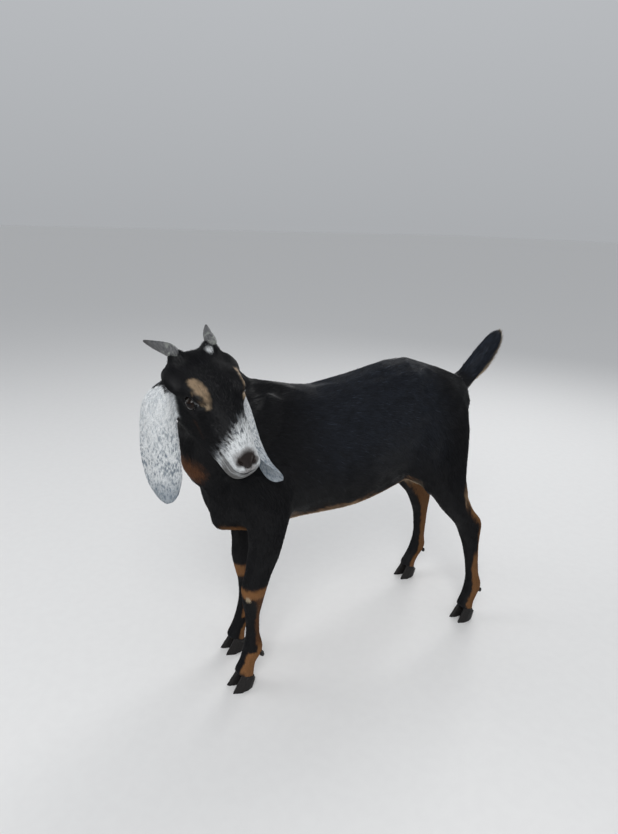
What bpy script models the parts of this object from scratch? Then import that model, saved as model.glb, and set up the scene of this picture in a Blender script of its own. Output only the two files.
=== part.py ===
"""A young lop-eared dairy goat as a still, life-size model: it stands square and looks back to its left.

The flesh is lofted from a few named sections, welded into one skin, and parted with thin cuts into the
pieces that a person would name. Horns, ears, eyes, hooves and dewclaws are solids of their own, seated
on the flesh with a small gap. The goat faces -Y, its left side is +X, and the floor is z = 0.
"""

import math

import bmesh
import bpy
from mathutils import Matrix, Vector

# ---- driving sizes, in metres -------------------------------------------------------------------
GAP = 0.0003            # clear space between neighbouring solids
VOXEL = 0.0055          # grain of the welded flesh
FLESH_TRIANGLES = 4520  # after the flesh is thinned out
SOFTENING = 40          # rounds of smoothing on the trunk and neck
SKULL_MIDDLE = (0.0, 0.010, -0.040)  # in the head's own frame; the smoothing fades out towards it
SKULL_REACH, FADE = 0.125, 0.060     # distance from there where it starts, and over which it grows
LEG_TOP, LEG_FADE = 0.30, 0.10       # the same up from the legs

HEAD_PLACE = (0.137, 0.098, 0.7165)  # the point midway between the eyes: left, ahead, up
HEAD_TURN = 106.0       # degrees from straight ahead towards the goat's left
HEAD_DROP = 38.0        # degrees that the skull's axis points below the level
HEAD_ROLL = 9.5         # degrees that the left side is carried higher than the right
EYE_RADIUS = 0.0135
EYE_PLACE = (0.0475, 0.009, -0.004)  # of the left eyeball's centre, in the head's own frame
EAR_THICKNESS = 0.0042
EAR_CURL = (72.0, 30.0)  # degrees that half an ear's width bends round, at its root and at its tip
HOOF_HEIGHT = 0.036
HOOF_SPARE = 0.010      # height above that, trimmed off along the coronet
TOE_REACH = 0.010       # how far the toe stands ahead of the foot's middle
WALL_SLOPE = 0.52       # how far a hoof's wall leans back for each unit of height
TOE_TAPER = 0.38        # share of a claw's width lost at its toe
TOP_LENGTH = 0.70       # a claw's length at its top, as a share of its sole's
TOP_WIDTH = 0.92
DEWCLAW_HEIGHT = 0.084
DEWCLAW_ROOT = (0.0105, -0.015)      # from the leg's middle line at that height: outwards, ahead
DEWCLAW_RADIUS = 0.0085
DEWCLAW_TAPER = 0.85      # how far it rounds off towards its tip
DEWCLAW_REACH = (0.001, -0.003, -0.014)  # from its root to its tip: outwards, ahead, up
SOLE_LENGTH = 0.052
SOLE_WIDTH = 0.0210     # of one claw
CLEFT = 0.0024          # between the two claws at the heel
SPLAY = 5.0             # degrees that a claw's toe points away from its twin
CORONET = 0.030         # height of the line where hair ends and hoof begins
CORONET_TILT = -22.0

# Where each foot stands (left, ahead), and how far its knee or hock is carried from the common rows.
STANCE = {
    "fore_left": (0.0640, 0.006, -0.0070, 0.0120),
    "fore_right": (-0.062, -0.035, 0.0, -0.0100),
    "hind_left": (0.122, -0.620, 0.0, 0.0110),
    "hind_right": (-0.118, -0.624, 0.0, -0.0100),
}
JOINT_LEVEL = 0.21      # where that carriage is greatest

# Trunk sections, tail end first: ahead of the fore feet, back, underline, half width, widest level.
TRUNK = (
    (-0.652, 0.612, 0.550, 0.024, 0.580),
    (-0.628, 0.640, 0.505, 0.058, 0.572),
    (-0.575, 0.664, 0.458, 0.082, 0.560),
    (-0.515, 0.686, 0.422, 0.092, 0.552),
    (-0.450, 0.704, 0.392, 0.094, 0.535),
    (-0.380, 0.698, 0.372, 0.104, 0.518),
    (-0.280, 0.676, 0.360, 0.117, 0.502),
    (-0.180, 0.665, 0.362, 0.109, 0.500),
    (-0.085, 0.682, 0.356, 0.086, 0.498),
    (-0.015, 0.668, 0.354, 0.076, 0.485),
    (0.035, 0.610, 0.384, 0.062, 0.480),
    (0.066, 0.545, 0.435, 0.036, 0.486),
)
# Neck sections: left, ahead, up, half depth, half width.
NECK = (
    (0.000, -0.077, 0.530, 0.130, 0.064),
    (0.003, 0.003, 0.574, 0.128, 0.063),
    (0.014, 0.041, 0.636, 0.111, 0.060),
    (0.030, 0.062, 0.684, 0.092, 0.056),
    (0.052, 0.076, 0.702, 0.074, 0.050),
    (0.085, 0.086, 0.694, 0.052, 0.042),
)
# Tail sections: left, ahead, up, half depth, half width.
TAIL = (
    (0.000, -0.605, 0.598, 0.028, 0.026),
    (0.000, -0.650, 0.622, 0.029, 0.026),
    (0.000, -0.689, 0.656, 0.031, 0.027),
    (0.000, -0.724, 0.692, 0.030, 0.026),
    (0.000, -0.753, 0.726, 0.024, 0.022),
    (0.000, -0.770, 0.751, 0.011, 0.012),
)
# Skull sections in the head's own frame: ahead of the eyes, top, bottom, half width, widest level.
SKULL = (
    (-0.108, -0.028, -0.090, 0.026, -0.056),
    (-0.094, -0.002, -0.108, 0.040, -0.044),
    (-0.070, 0.018, -0.120, 0.049, -0.032),
    (-0.040, 0.027, -0.125, 0.054, -0.022),
    (0.000, 0.024, -0.119, 0.0545, -0.016),
    (0.032, 0.014, -0.113, 0.047, -0.026),
    (0.062, 0.003, -0.107, 0.038, -0.045),
    (0.092, -0.010, -0.099, 0.034, -0.052),
    (0.120, -0.024, -0.094, 0.032, -0.058),
    (0.138, -0.034, -0.088, 0.028, -0.060),
    (0.148, -0.045, -0.077, 0.018, -0.061),
)
# Left horn in the head's own frame, from root to tip: left, ahead, up, half depth, half width.
HORN = (
    (0.031, -0.068, -0.004, 0.0120, 0.0100),
    (0.0378, -0.0800, 0.0140, 0.0146, 0.0113),
    (0.0410, -0.0900, 0.0180, 0.0138, 0.0106),
    (0.0465, -0.1035, 0.0132, 0.0114, 0.0090),
    (0.0555, -0.1195, 0.0070, 0.0080, 0.0066),
    (0.0655, -0.1366, 0.0020, 0.0024, 0.0020),
)
# Ear sections from root to tip: left, ahead, up, the way the outer face looks (left, ahead, up), half width.
RIGHT_EAR = (
    (0.086, 0.142, 0.738, 0.10, 0.60, 0.80, 0.014),
    (0.088, 0.169, 0.723, 0.50, 0.70, 0.50, 0.027),
    (0.092, 0.189, 0.692, 0.76, 0.60, 0.15, 0.038),
    (0.094, 0.191, 0.640, 0.82, 0.56, 0.00, 0.042),
    (0.093, 0.188, 0.585, 0.83, 0.55, 0.00, 0.043),
    (0.091, 0.180, 0.535, 0.83, 0.55, 0.00, 0.037),
    (0.089, 0.172, 0.502, 0.83, 0.55, 0.00, 0.020),
    (0.089, 0.169, 0.493, 0.83, 0.55, 0.00, 0.006),
)
LEFT_EAR = (
    (0.092, 0.062, 0.748, 0.20, -0.50, 0.85, 0.013),
    (0.098, 0.046, 0.728, 0.50, -0.60, 0.50, 0.025),
    (0.108, 0.030, 0.694, 0.70, -0.66, 0.15, 0.035),
    (0.117, 0.015, 0.650, 0.64, -0.76, 0.00, 0.041),
    (0.124, 0.001, 0.602, 0.45, -0.88, 0.00, 0.042),
    (0.130, -0.016, 0.558, 0.05, -0.95, -0.20, 0.036),
    (0.136, -0.032, 0.526, -0.30, -0.85, -0.40, 0.021),
    (0.138, -0.038, 0.515, -0.30, -0.85, -0.40, 0.007),
)
# Leg sections of the left side: up, front edge, rear edge, left of the middle, half width.
FORE_LEG = (
    (0.520, 0.025, -0.090, 0.062, 0.032),
    (0.460, 0.032, -0.097, 0.075, 0.034),
    (0.420, 0.012, -0.102, 0.081, 0.033),
    (0.370, -0.006, -0.094, 0.083, 0.030),
    (0.320, -0.006, -0.083, 0.082, 0.0265),
    (0.278, -0.003, -0.067, 0.080, 0.0235),
    (0.245, 0.002, -0.057, 0.079, 0.0250),
    (0.215, -0.001, -0.050, 0.078, 0.0220),
    (0.175, -0.007, -0.041, 0.077, 0.0155),
    (0.130, -0.005, -0.038, 0.076, 0.0152),
    (0.105, 0.000, -0.041, 0.075, 0.0185),
    (0.085, 0.006, -0.040, 0.0745, 0.0205),
    (0.062, 0.017, -0.022, 0.0740, 0.0185),
    (0.040, 0.030, -0.015, 0.0735, 0.0205),
    (0.008, 0.034, -0.014, 0.0735, 0.0210),
)
HIND_LEG = (
    (0.600, -0.470, -0.600, 0.050, 0.040),
    (0.540, -0.462, -0.612, 0.064, 0.046),
    (0.480, -0.455, -0.604, 0.080, 0.045),
    (0.430, -0.462, -0.594, 0.092, 0.042),
    (0.385, -0.482, -0.594, 0.101, 0.036),
    (0.345, -0.510, -0.608, 0.106, 0.030),
    (0.310, -0.545, -0.630, 0.108, 0.0255),
    (0.278, -0.577, -0.659, 0.110, 0.0235),
    (0.245, -0.595, -0.660, 0.111, 0.0225),
    (0.210, -0.610, -0.657, 0.113, 0.0190),
    (0.160, -0.620, -0.659, 0.116, 0.0158),
    (0.120, -0.623, -0.662, 0.118, 0.0162),
    (0.088, -0.619, -0.668, 0.120, 0.0200),
    (0.062, -0.606, -0.650, 0.121, 0.0190),
    (0.040, -0.594, -0.638, 0.122, 0.0205),
    (0.008, -0.590, -0.638, 0.122, 0.0210),
)

# Cuts through neck base, throat and tail root: centre and normal as left, ahead, up, then radius.
BODY_CUTS = (
    ((0.006, 0.016, 0.592), (0.10, 0.78, 0.62), 0.140),
    ((0.055, 0.065, 0.687), (0.86, 0.02, 0.50), 0.104),
    ((0.000, -0.660, 0.634), (0.00, -0.72, 0.69), 0.048),
)
# Cuts of each leg: height, forward tilt of the blade in degrees, radius.
FORE_CUTS = ((0.345, 0.0, 0.052), (0.272, 0.0, 0.042), (0.112, 0.0, 0.032), (CORONET, CORONET_TILT, 0.040))
HIND_CUTS = ((0.405, 10.0, 0.092), (0.306, 22.0, 0.060), (0.112, 0.0, 0.034), (CORONET, CORONET_TILT, 0.040))
NAMES = {"fore": ("forearm", "cannon", "foot"), "hind": ("gaskin", "cannon", "foot")}

BLACK_HAIR = (0.010, 0.010, 0.013, 1.0)
TAN_HAIR = (0.330, 0.170, 0.075, 1.0)
FROSTED_HAIR = (0.560, 0.590, 0.610, 1.0)
HORN_GREY = (0.160, 0.155, 0.150, 1.0)
HOOF_GREY = (0.060, 0.055, 0.055, 1.0)
EYE_BROWN = (0.060, 0.025, 0.010, 1.0)


# ---- frames and small helpers -------------------------------------------------------------------
def at(left, ahead, up):
    """A point given as left, ahead and up, in the model's axes."""
    return Vector((left, -ahead, up))


def head_frame():
    """The head's own axes as a matrix: its left, its back and its top, at the point between the eyes."""
    turn = math.radians(HEAD_TURN)
    drop = math.radians(HEAD_DROP)
    level = at(math.sin(turn), math.cos(turn), 0.0)
    nose = level * math.cos(drop) + at(0, 0, -math.sin(drop))
    crown = level * math.sin(drop) + at(0, 0, math.cos(drop))
    left = at(math.cos(turn), -math.sin(turn), 0.0)
    axes = Matrix((left, -nose, crown)).transposed()
    roll = Matrix.Rotation(math.radians(HEAD_ROLL), 3, nose)
    place = (roll @ axes).to_4x4()
    place.translation = at(*HEAD_PLACE)
    return place


HEAD = head_frame()


def in_head(left, ahead, up):
    """A point of the head's own frame, in the model's axes."""
    return HEAD @ at(left, ahead, up)


def eased(rows, steps):
    """The rows with `steps` rows between neighbours, on a smooth curve through them."""
    out = []
    last = len(rows) - 1
    for i in range(last):
        before, first, second, after = rows[max(i - 1, 0)], rows[i], rows[i + 1], rows[min(i + 2, last)]
        for k in range(steps):
            t = k / steps
            out.append(tuple(
                0.5 * (2 * b + (c - a) * t + (2 * a - 5 * b + 4 * c - d) * t**2 + (3 * b - a - 3 * c + d) * t**3)
                for a, b, c, d in zip(before, first, second, after)
            ))
    out.append(tuple(rows[last]))
    return out


def new_object(name, mesh, collection):
    thing = bpy.data.objects.new(name, mesh)
    collection.objects.link(thing)
    return thing


def evaluated_mesh(thing):
    """The object's mesh with its modifiers applied."""
    bpy.context.view_layer.update()
    graph = bpy.context.evaluated_depsgraph_get()
    return bpy.data.meshes.new_from_object(thing.evaluated_get(graph))


def drop(thing):
    bpy.data.objects.remove(thing, do_unlink=True)


# ---- closed shapes, added to a bmesh ------------------------------------------------------------
def loft(bm, rings):
    """A closed tube through rings of equal point counts."""
    made = [[bm.verts.new(point) for point in ring] for ring in rings]
    around = len(rings[0])
    for low, high in zip(made, made[1:]):
        for i in range(around):
            j = (i + 1) % around
            bm.faces.new((low[i], low[j], high[j], high[i]))
    bm.faces.new(list(reversed(made[0])))
    bm.faces.new(made[-1])


def oval(centre, side, up, down, power_up=2.0, power_down=2.0, around=24):
    """A ring with its own half sizes upwards and downwards; a power over 2 is boxier."""
    ring = []
    for i in range(around):
        angle = 2 * math.pi * i / around
        c, s = math.cos(angle), math.sin(angle)
        power = 2 / (power_up if s > 0 else power_down)
        rise = up if s > 0 else down
        ring.append(centre + side * math.copysign(abs(c) ** power, c) + rise * abs(s) ** power)
    return ring


def barrel(bm, rows, place, power_up, power_down):
    """A loft along the ahead axis of `place`, from rows of ahead, top, bottom, half width, widest level."""
    rings = []
    for ahead, top, bottom, half, widest in eased(rows, 3):
        ring = oval(
            at(0, ahead, widest), at(half, 0, 0), at(0, 0, top - widest), at(0, 0, bottom - widest),
            power_up, power_down,
        )
        rings.append([place @ point for point in ring])
    loft(bm, rings)


def tube(bm, rows):
    """A loft square to its path, from rows of left, ahead, up, half depth, half width."""
    rows = eased(rows, 3)
    points = [at(*row[:3]) for row in rows]
    rings = []
    for i, row in enumerate(rows):
        along = (points[min(i + 1, len(rows) - 1)] - points[max(i - 1, 0)]).normalized()
        side = along.cross(at(0, 0, 1)).normalized()
        top = side.cross(along)
        rings.append(oval(points[i], side * -row[4], top * row[3], top * -row[3]))
    loft(bm, rings)


def leg_rows(rows, mirror, stance):
    """The rows for one side, sheared to where the foot stands, with the knee or hock carried aside."""
    foot_left, foot_ahead, carried_left, carried_ahead = stance
    low_left, low_ahead = rows[-1][3], (rows[-1][1] + rows[-1][2]) / 2
    top = rows[0][0]
    out = []
    for up, front, rear, left, half in rows:
        share = 1 - up / top
        reach = top - JOINT_LEVEL if up > JOINT_LEVEL else JOINT_LEVEL
        carried = math.cos(min(abs(up - JOINT_LEVEL) / reach, 1.0) * math.pi / 2) ** 2
        sideways = left * mirror + (foot_left - low_left * mirror) * share + carried_left * carried
        shift = (foot_ahead - low_ahead) * share + carried_ahead * carried
        out.append((up, front + shift, rear + shift, sideways, half))
    return out


def limb(bm, rows):
    """A leg: level rings from rows of up, front, rear, left, half width."""
    rings = []
    for up, front, rear, left, half in eased(rows, 3):
        centre = at(left, (front + rear) / 2, up)
        depth = at(0, (front - rear) / 2, 0)
        rings.append(oval(centre, at(half, 0, 0), depth, -depth, 2.2, 2.2))
    loft(bm, rings)


def bulge(bm, centre, half, place=Matrix.Identity(4), pitch=0.0, yaw=0.0, spin=0.0):
    """A muscle or bone end: an ellipsoid, half sizes left, ahead and up, turned in degrees."""
    turn = Matrix.Rotation(math.radians(yaw), 4, "Z") @ Matrix.Rotation(math.radians(pitch), 4, "X")
    turn = turn @ Matrix.Rotation(math.radians(spin), 4, "Y")
    shape = place @ Matrix.Translation(at(*centre)) @ turn @ Matrix.Diagonal((*half, 1.0))
    bmesh.ops.create_uvsphere(bm, u_segments=20, v_segments=12, radius=1.0, matrix=shape)


# ---- the flesh ----------------------------------------------------------------------------------
def add_trunk(bm):
    barrel(bm, TRUNK, Matrix.Identity(4), 1.9, 2.1)
    tube(bm, NECK)
    tube(bm, TAIL)
    for side in (1, -1):
        bulge(bm, (side * 0.052, -0.035, 0.585), (0.026, 0.050, 0.095), pitch=-14)   # shoulder blade
        bulge(bm, (side * 0.064, 0.012, 0.478), (0.028, 0.036, 0.050), pitch=20)     # point of shoulder
        bulge(bm, (side * 0.070, -0.050, 0.470), (0.034, 0.050, 0.060), pitch=-20)   # upper arm
        bulge(bm, (side * 0.050, -0.445, 0.660), (0.022, 0.042, 0.022))              # hip bone
        bulge(bm, (side * 0.034, -0.622, 0.580), (0.022, 0.026, 0.034))              # pin bone
        bulge(bm, (side * 0.064, -0.535, 0.545), (0.046, 0.075, 0.085), pitch=-12)   # thigh
        bulge(bm, (side * 0.074, -0.458, 0.445), (0.028, 0.040, 0.050), pitch=25)    # flank fold
        bulge(bm, (side * 0.098, -0.492, 0.405), (0.028, 0.030, 0.036))              # stifle
    bulge(bm, (0.0, -0.075, 0.655), (0.028, 0.060, 0.032))                           # withers
    bulge(bm, (0.0, 0.012, 0.398), (0.030, 0.044, 0.040))                            # brisket


def add_head(bm):
    barrel(bm, SKULL, HEAD, 2.5, 2.5)
    for side in (1, -1):
        bulge(bm, (side * 0.043, 0.009, -0.004), (0.0155, 0.028, 0.021), HEAD)      # eye socket
        bulge(bm, (side * 0.041, 0.000, 0.010), (0.018, 0.034, 0.013), HEAD)        # brow
        bulge(bm, (side * 0.034, -0.030, -0.070), (0.014, 0.038, 0.038), HEAD)       # cheek
        bulge(bm, (side * 0.030, 0.046, -0.028), (0.011, 0.044, 0.013), HEAD)        # cheek bone
        bulge(bm, (side * 0.041, -0.060, -0.024), (0.018, 0.021, 0.022), HEAD)       # ear root
        bulge(bm, (side * 0.050, -0.038, -0.003), (0.027, 0.038, 0.016), HEAD, yaw=side * -14)  # arch of the ear
        bulge(bm, (side * 0.015, 0.136, -0.043), (0.011, 0.014, 0.012), HEAD)        # nostril
        bulge(bm, (side * 0.017, 0.117, -0.064), (0.015, 0.027, 0.016), HEAD)        # upper lip
        bulge(bm, (side * 0.034, -0.076, 0.011), (0.018, 0.020, 0.015), HEAD)        # horn seat
    bulge(bm, (0.0, 0.114, -0.084), (0.020, 0.022, 0.013), HEAD)                     # chin


def legs():
    """Each leg's name, its rows and its cuts."""
    for name, stance in STANCE.items():
        side = 1 if name.endswith("left") else -1
        rows, cuts = (FORE_LEG, FORE_CUTS) if name.startswith("fore") else (HIND_LEG, HIND_CUTS)
        yield name, leg_rows(rows, side, stance), cuts


def add_legs(bm):
    for _, rows, _ in legs():
        limb(bm, rows)


def softness(point):
    """How much a point of the flesh is smoothed: fully on the trunk and neck, hardly on head and lower legs."""
    from_head = (HEAD.inverted() @ point - at(*SKULL_MIDDLE)).length
    clear_of_head = min(max((from_head - SKULL_REACH) / FADE, 0.0), 1.0)
    above_legs = min(max((point.z - LEG_TOP) / LEG_FADE, 0.0), 1.0)
    return clear_of_head * above_legs


def welded_flesh(workshop):
    """All the flesh as one skin, smoothed and thinned out."""
    bm = bmesh.new()
    add_trunk(bm)
    add_head(bm)
    add_legs(bm)
    bmesh.ops.recalc_face_normals(bm, faces=bm.faces)
    mesh = bpy.data.meshes.new("flesh")
    bm.to_mesh(mesh)
    bm.free()
    raw = new_object("flesh", mesh, workshop)
    weld = raw.modifiers.new("Weld", "REMESH")
    weld.mode = "VOXEL"
    weld.voxel_size = VOXEL
    flesh = new_object("skin", evaluated_mesh(raw), workshop)
    drop(raw)
    group = flesh.vertex_groups.new(name="soft")
    for vert in flesh.data.vertices:
        group.add([vert.index], softness(vert.co), "REPLACE")
    for iterations, name in ((SOFTENING, "soft"), (3, "")):
        smooth = flesh.modifiers.new("Smooth", "SMOOTH")
        smooth.factor = 0.5
        smooth.iterations = iterations
        smooth.vertex_group = name
    thin = flesh.modifiers.new("Thin", "DECIMATE")
    thin.ratio = FLESH_TRIANGLES / (2 * len(flesh.data.polygons))
    thin.use_collapse_triangulate = True
    whole = new_object("whole", evaluated_mesh(flesh), workshop)
    drop(flesh)
    return whole


# ---- cutting ------------------------------------------------------------------------------------
def cut_away(target, cutter, solver="EXACT"):
    """The target's mesh without the cutter's space, put in its place."""
    cut = target.modifiers.new("Cut", "BOOLEAN")
    cut.operation = "DIFFERENCE"
    cut.solver = solver
    cut.object = cutter
    mesh = evaluated_mesh(target)
    target.modifiers.clear()
    target.data = mesh


def add_slab(bm, centre, normal, radius, thickness=GAP):
    """A thin round blade square to `normal`."""
    turn = Vector((0, 0, 1)).rotation_difference(normal).to_matrix().to_4x4()
    bmesh.ops.create_cone(
        bm, cap_ends=True, segments=20, radius1=radius, radius2=radius, depth=thickness,
        matrix=Matrix.Translation(centre) @ turn,
    )


def leg_centre(rows, up):
    """The middle of a leg at a height, between the rows above and below it."""
    for high, low in zip(rows, rows[1:]):
        if low[0] <= up <= high[0]:
            t = (high[0] - up) / (high[0] - low[0])
            row = [a + (b - a) * t for a, b in zip(high, low)]
            return at(row[3], (row[1] + row[2]) / 2, up)
    raise ValueError("no section at this height")


def blade_normal(tilt):
    angle = math.radians(tilt)
    return at(0, math.sin(angle), math.cos(angle))


def part_flesh(whole, workshop, goat):
    """Cuts the skin with thin blades and names each loose piece by the nearest label."""
    bm = bmesh.new()
    for centre, normal, radius in BODY_CUTS:
        add_slab(bm, at(*centre), at(*normal).normalized(), radius)
    labels = {
        "trunk": at(0, -0.30, 0.52), "neck": at(0.02, 0.05, 0.66), "head": in_head(0, 0.0, -0.04),
        "tail": at(0, -0.71, 0.69),
    }
    waste = []
    for name, rows, cuts in legs():
        for up, tilt, radius in cuts:
            add_slab(bm, leg_centre(rows, up), blade_normal(tilt), radius)
        for word, high, low in zip(NAMES[name[:4]], cuts, cuts[1:]):
            labels[f"{name}_{word}"] = leg_centre(rows, (high[0] + low[0]) / 2)
        waste.append(leg_centre(rows, CORONET * 0.4))
    mesh = bpy.data.meshes.new("blades")
    bm.to_mesh(mesh)
    bm.free()
    blades = new_object("blades", mesh, workshop)
    cut_away(whole, blades)
    drop(blades)
    pieces = loose_pieces(whole, labels, waste, goat)
    drop(whole)
    return pieces


def islands(bm):
    """The sets of vertices that hang together."""
    left = set(bm.verts)
    while left:
        edge_of_search = [left.pop()]
        found = set(edge_of_search)
        while edge_of_search:
            for edge in edge_of_search.pop().link_edges:
                for vert in edge.verts:
                    if vert not in found:
                        found.add(vert)
                        edge_of_search.append(vert)
        left -= found
        yield found


def loose_pieces(whole, labels, waste, goat):
    """One object for each connected piece, named by the label that lies nearest to its middle."""
    bm = bmesh.new()
    bm.from_mesh(whole.data)
    pieces = {}
    for found in islands(bm):
        low = Vector([min(v.co[i] for v in found) for i in range(3)])
        high = Vector([max(v.co[i] for v in found) for i in range(3)])
        middle = (low + high) / 2
        name = min(labels, key=lambda label: (labels[label] - middle).length)
        nearest_waste = min((point - middle).length for point in waste)
        if len(found) < 12 or nearest_waste < (labels[name] - middle).length:
            continue
        pieces[name] = island_object(name, bm, found, goat)
    bm.free()
    return pieces


def island_object(name, bm, found, goat):
    part = bmesh.new()
    twin = {vert: part.verts.new(vert.co) for vert in found}
    for face in bm.faces:
        if face.verts[0] in found:
            part.faces.new([twin[vert] for vert in face.verts])
    mesh = bpy.data.meshes.new(name)
    part.to_mesh(mesh)
    part.free()
    return new_object(name, mesh, goat)


def swollen(thing, by, workshop):
    """A copy whose surface stands out by a little, as a cutter."""
    bm = bmesh.new()
    bm.from_mesh(thing.data)
    bm.normal_update()
    for vert in bm.verts:
        vert.co += vert.normal * by
    mesh = bpy.data.meshes.new("swollen")
    bm.to_mesh(mesh)
    bm.free()
    return new_object("swollen", mesh, workshop)


def seat(piece, host, workshop):
    """Trims the piece where the host is, with a gap, and keeps its main body.

    The exact solver loses the left horn here.
    """
    cutter = swollen(host, GAP * 1.6, workshop)
    cut_away(piece, cutter, "MANIFOLD")
    drop(cutter)
    bm = bmesh.new()
    bm.from_mesh(piece.data)
    crumbs = sorted(islands(bm), key=len)[:-1]
    bmesh.ops.delete(bm, geom=[vert for crumb in crumbs for vert in crumb], context="VERTS")
    bm.to_mesh(piece.data)
    bm.free()


# ---- horns, ears, eyes, hooves ------------------------------------------------------------------
def closed_object(name, bm, collection):
    bmesh.ops.recalc_face_normals(bm, faces=bm.faces)
    mesh = bpy.data.meshes.new(name)
    bm.to_mesh(mesh)
    bm.free()
    return new_object(name, mesh, collection)


def horn(name, side, goat):
    """A short horn that leaves the crown, sweeps straight back and out, and narrows to a blunt tip."""
    bm = bmesh.new()
    rows = eased(HORN, 2)
    points = [in_head(side * row[0], row[1], row[2]) for row in rows]
    across = HEAD.to_3x3() @ at(side, 0, 0)
    rings = []
    for i, row in enumerate(rows):
        along = (points[min(i + 1, len(rows) - 1)] - points[max(i - 1, 0)]).normalized()
        deep = across.cross(along).normalized()
        wide = along.cross(deep)
        rings.append(oval(points[i], wide * row[4], deep * row[3], -deep * row[3], around=10))
    loft(bm, rings)
    return closed_object(name, bm, goat)


def ear(name, rows, goat):
    """A long hanging ear: a leaf, curled across, broad below its root and round at its tip."""
    bm = bmesh.new()
    wide_steps = 5
    sections = eased(rows, 2)
    points = [at(*row[:3]) for row in sections]
    grid = []
    for i, row in enumerate(sections):
        along = (points[min(i + 1, len(points) - 1)] - points[max(i - 1, 0)]).normalized()
        across = along.cross(at(*row[3:6])).normalized()
        face = across.cross(along).normalized()
        half = row[6]
        curl = math.radians(EAR_CURL[0] + (EAR_CURL[1] - EAR_CURL[0]) * i / (len(sections) - 1))
        bow = half / curl
        line = []
        for j in range(wide_steps + 1):
            angle = curl * (2 * j / wide_steps - 1)
            line.append(bm.verts.new(
                points[i] + across * bow * math.sin(angle) + face * bow * (math.cos(angle) - 1)))
        grid.append(line)
    for low, high in zip(grid, grid[1:]):
        for j in range(wide_steps):
            bm.faces.new((low[j], low[j + 1], high[j + 1], high[j]))
    mesh = bpy.data.meshes.new(name)
    bm.to_mesh(mesh)
    bm.free()
    blade = new_object(name, mesh, goat)
    wall = blade.modifiers.new("Wall", "SOLIDIFY")
    wall.thickness = EAR_THICKNESS
    wall.offset = 0.0
    solid = evaluated_mesh(blade)
    blade.modifiers.clear()
    blade.data = solid
    return blade


def ball(name, centre, radius, collection, segments=12, rings=8):
    bm = bmesh.new()
    bmesh.ops.create_uvsphere(
        bm, u_segments=segments, v_segments=rings, radius=radius, matrix=Matrix.Translation(centre),
    )
    return closed_object(name, bm, collection)


def claw(name, side, foot, goat):
    """Half of a cloven hoof: flat sole, sloping front wall, toe turned out a little from its twin."""
    bm = bmesh.new()
    turn = math.radians(SPLAY) * side
    heel = at(foot[0], foot[1] - SOLE_LENGTH / 2, 0.0)
    rings = []
    steps = 3
    around = 10
    for i in range(steps + 1):
        t = i / steps
        up = t * (HOOF_HEIGHT + HOOF_SPARE)
        length = SOLE_LENGTH * (1 - (1 - TOP_LENGTH) * t)
        width = SOLE_WIDTH * (1 - (1 - TOP_WIDTH) * t)
        ring = []
        for k in range(around):
            angle = 2 * math.pi * k / around
            c, s = math.cos(angle), math.sin(angle)
            taper = 1 - TOE_TAPER * max(c, 0) ** 2
            left = side * (CLEFT / 2 + width / 2 * (1 + s * side) * (taper if s * side > 0 else 1.0))
            point = at(foot[0] + left, foot[1] + TOE_REACH - up * WALL_SLOPE + length / 2 * c, up)
            ring.append(heel + Matrix.Rotation(turn, 3, "Z") @ (point - heel))
        rings.append(ring)
    loft(bm, rings)
    return closed_object(name, bm, goat)


def trim_top(piece, plane_point, normal):
    """Takes away what lies above a plane."""
    bm = bmesh.new()
    bm.from_mesh(piece.data)
    geometry = bm.verts[:] + bm.edges[:] + bm.faces[:]
    bmesh.ops.bisect_plane(bm, geom=geometry, plane_co=plane_point, plane_no=normal, clear_outer=True)
    rim = [edge for edge in bm.edges if edge.is_boundary]
    bmesh.ops.holes_fill(bm, edges=rim, sides=0)
    bmesh.ops.recalc_face_normals(bm, faces=bm.faces)
    bm.to_mesh(piece.data)
    bm.free()


def dewclaw(name, place, side, goat):
    """A small blunt cone behind the fetlock."""
    bm = bmesh.new()
    rings = []
    for t in (0.0, 0.5, 0.85, 1.0):
        radius = DEWCLAW_RADIUS * math.sqrt(1 - DEWCLAW_TAPER * t**3)
        centre = place + at(side * DEWCLAW_REACH[0], *DEWCLAW_REACH[1:]) * t
        rings.append(oval(
            centre, at(radius, 0, 0), at(0, radius, radius * 0.5), at(0, -radius, -radius * 0.5), around=6))
    loft(bm, rings)
    return closed_object(name, bm, goat)


def finish_material(thing, colour, roughness):
    material = bpy.data.materials.new(thing.name)
    material.use_nodes = True
    shader = material.node_tree.nodes["Principled BSDF"]
    shader.inputs["Base Color"].default_value = colour
    shader.inputs["Roughness"].default_value = roughness
    shader.inputs["Metallic"].default_value = 0.0
    thing.data.materials.clear()
    thing.data.materials.append(material)


def colour_of(name):
    """The main colour and the roughness of a node, from its name."""
    if "horn" in name:
        return HORN_GREY, 0.5
    if "claw" in name:
        return HOOF_GREY, 0.5
    if "eye" in name:
        return EYE_BROWN, 0.1
    if "ear_" in name:
        return FROSTED_HAIR, 0.8
    if name.endswith("foot"):
        return TAN_HAIR, 0.8
    return BLACK_HAIR, 0.7


def centre_on_floor(things):
    """Moves all the meshes so that the model's box is centred on the origin and stands on z = 0."""
    points = [v.co for thing in things for v in thing.data.vertices]
    low = Vector([min(p[i] for p in points) for i in range(3)])
    high = Vector([max(p[i] for p in points) for i in range(3)])
    shift = Vector((-(low.x + high.x) / 2, -(low.y + high.y) / 2, 0.0))
    for thing in things:
        thing.data.transform(Matrix.Translation(shift))


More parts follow.
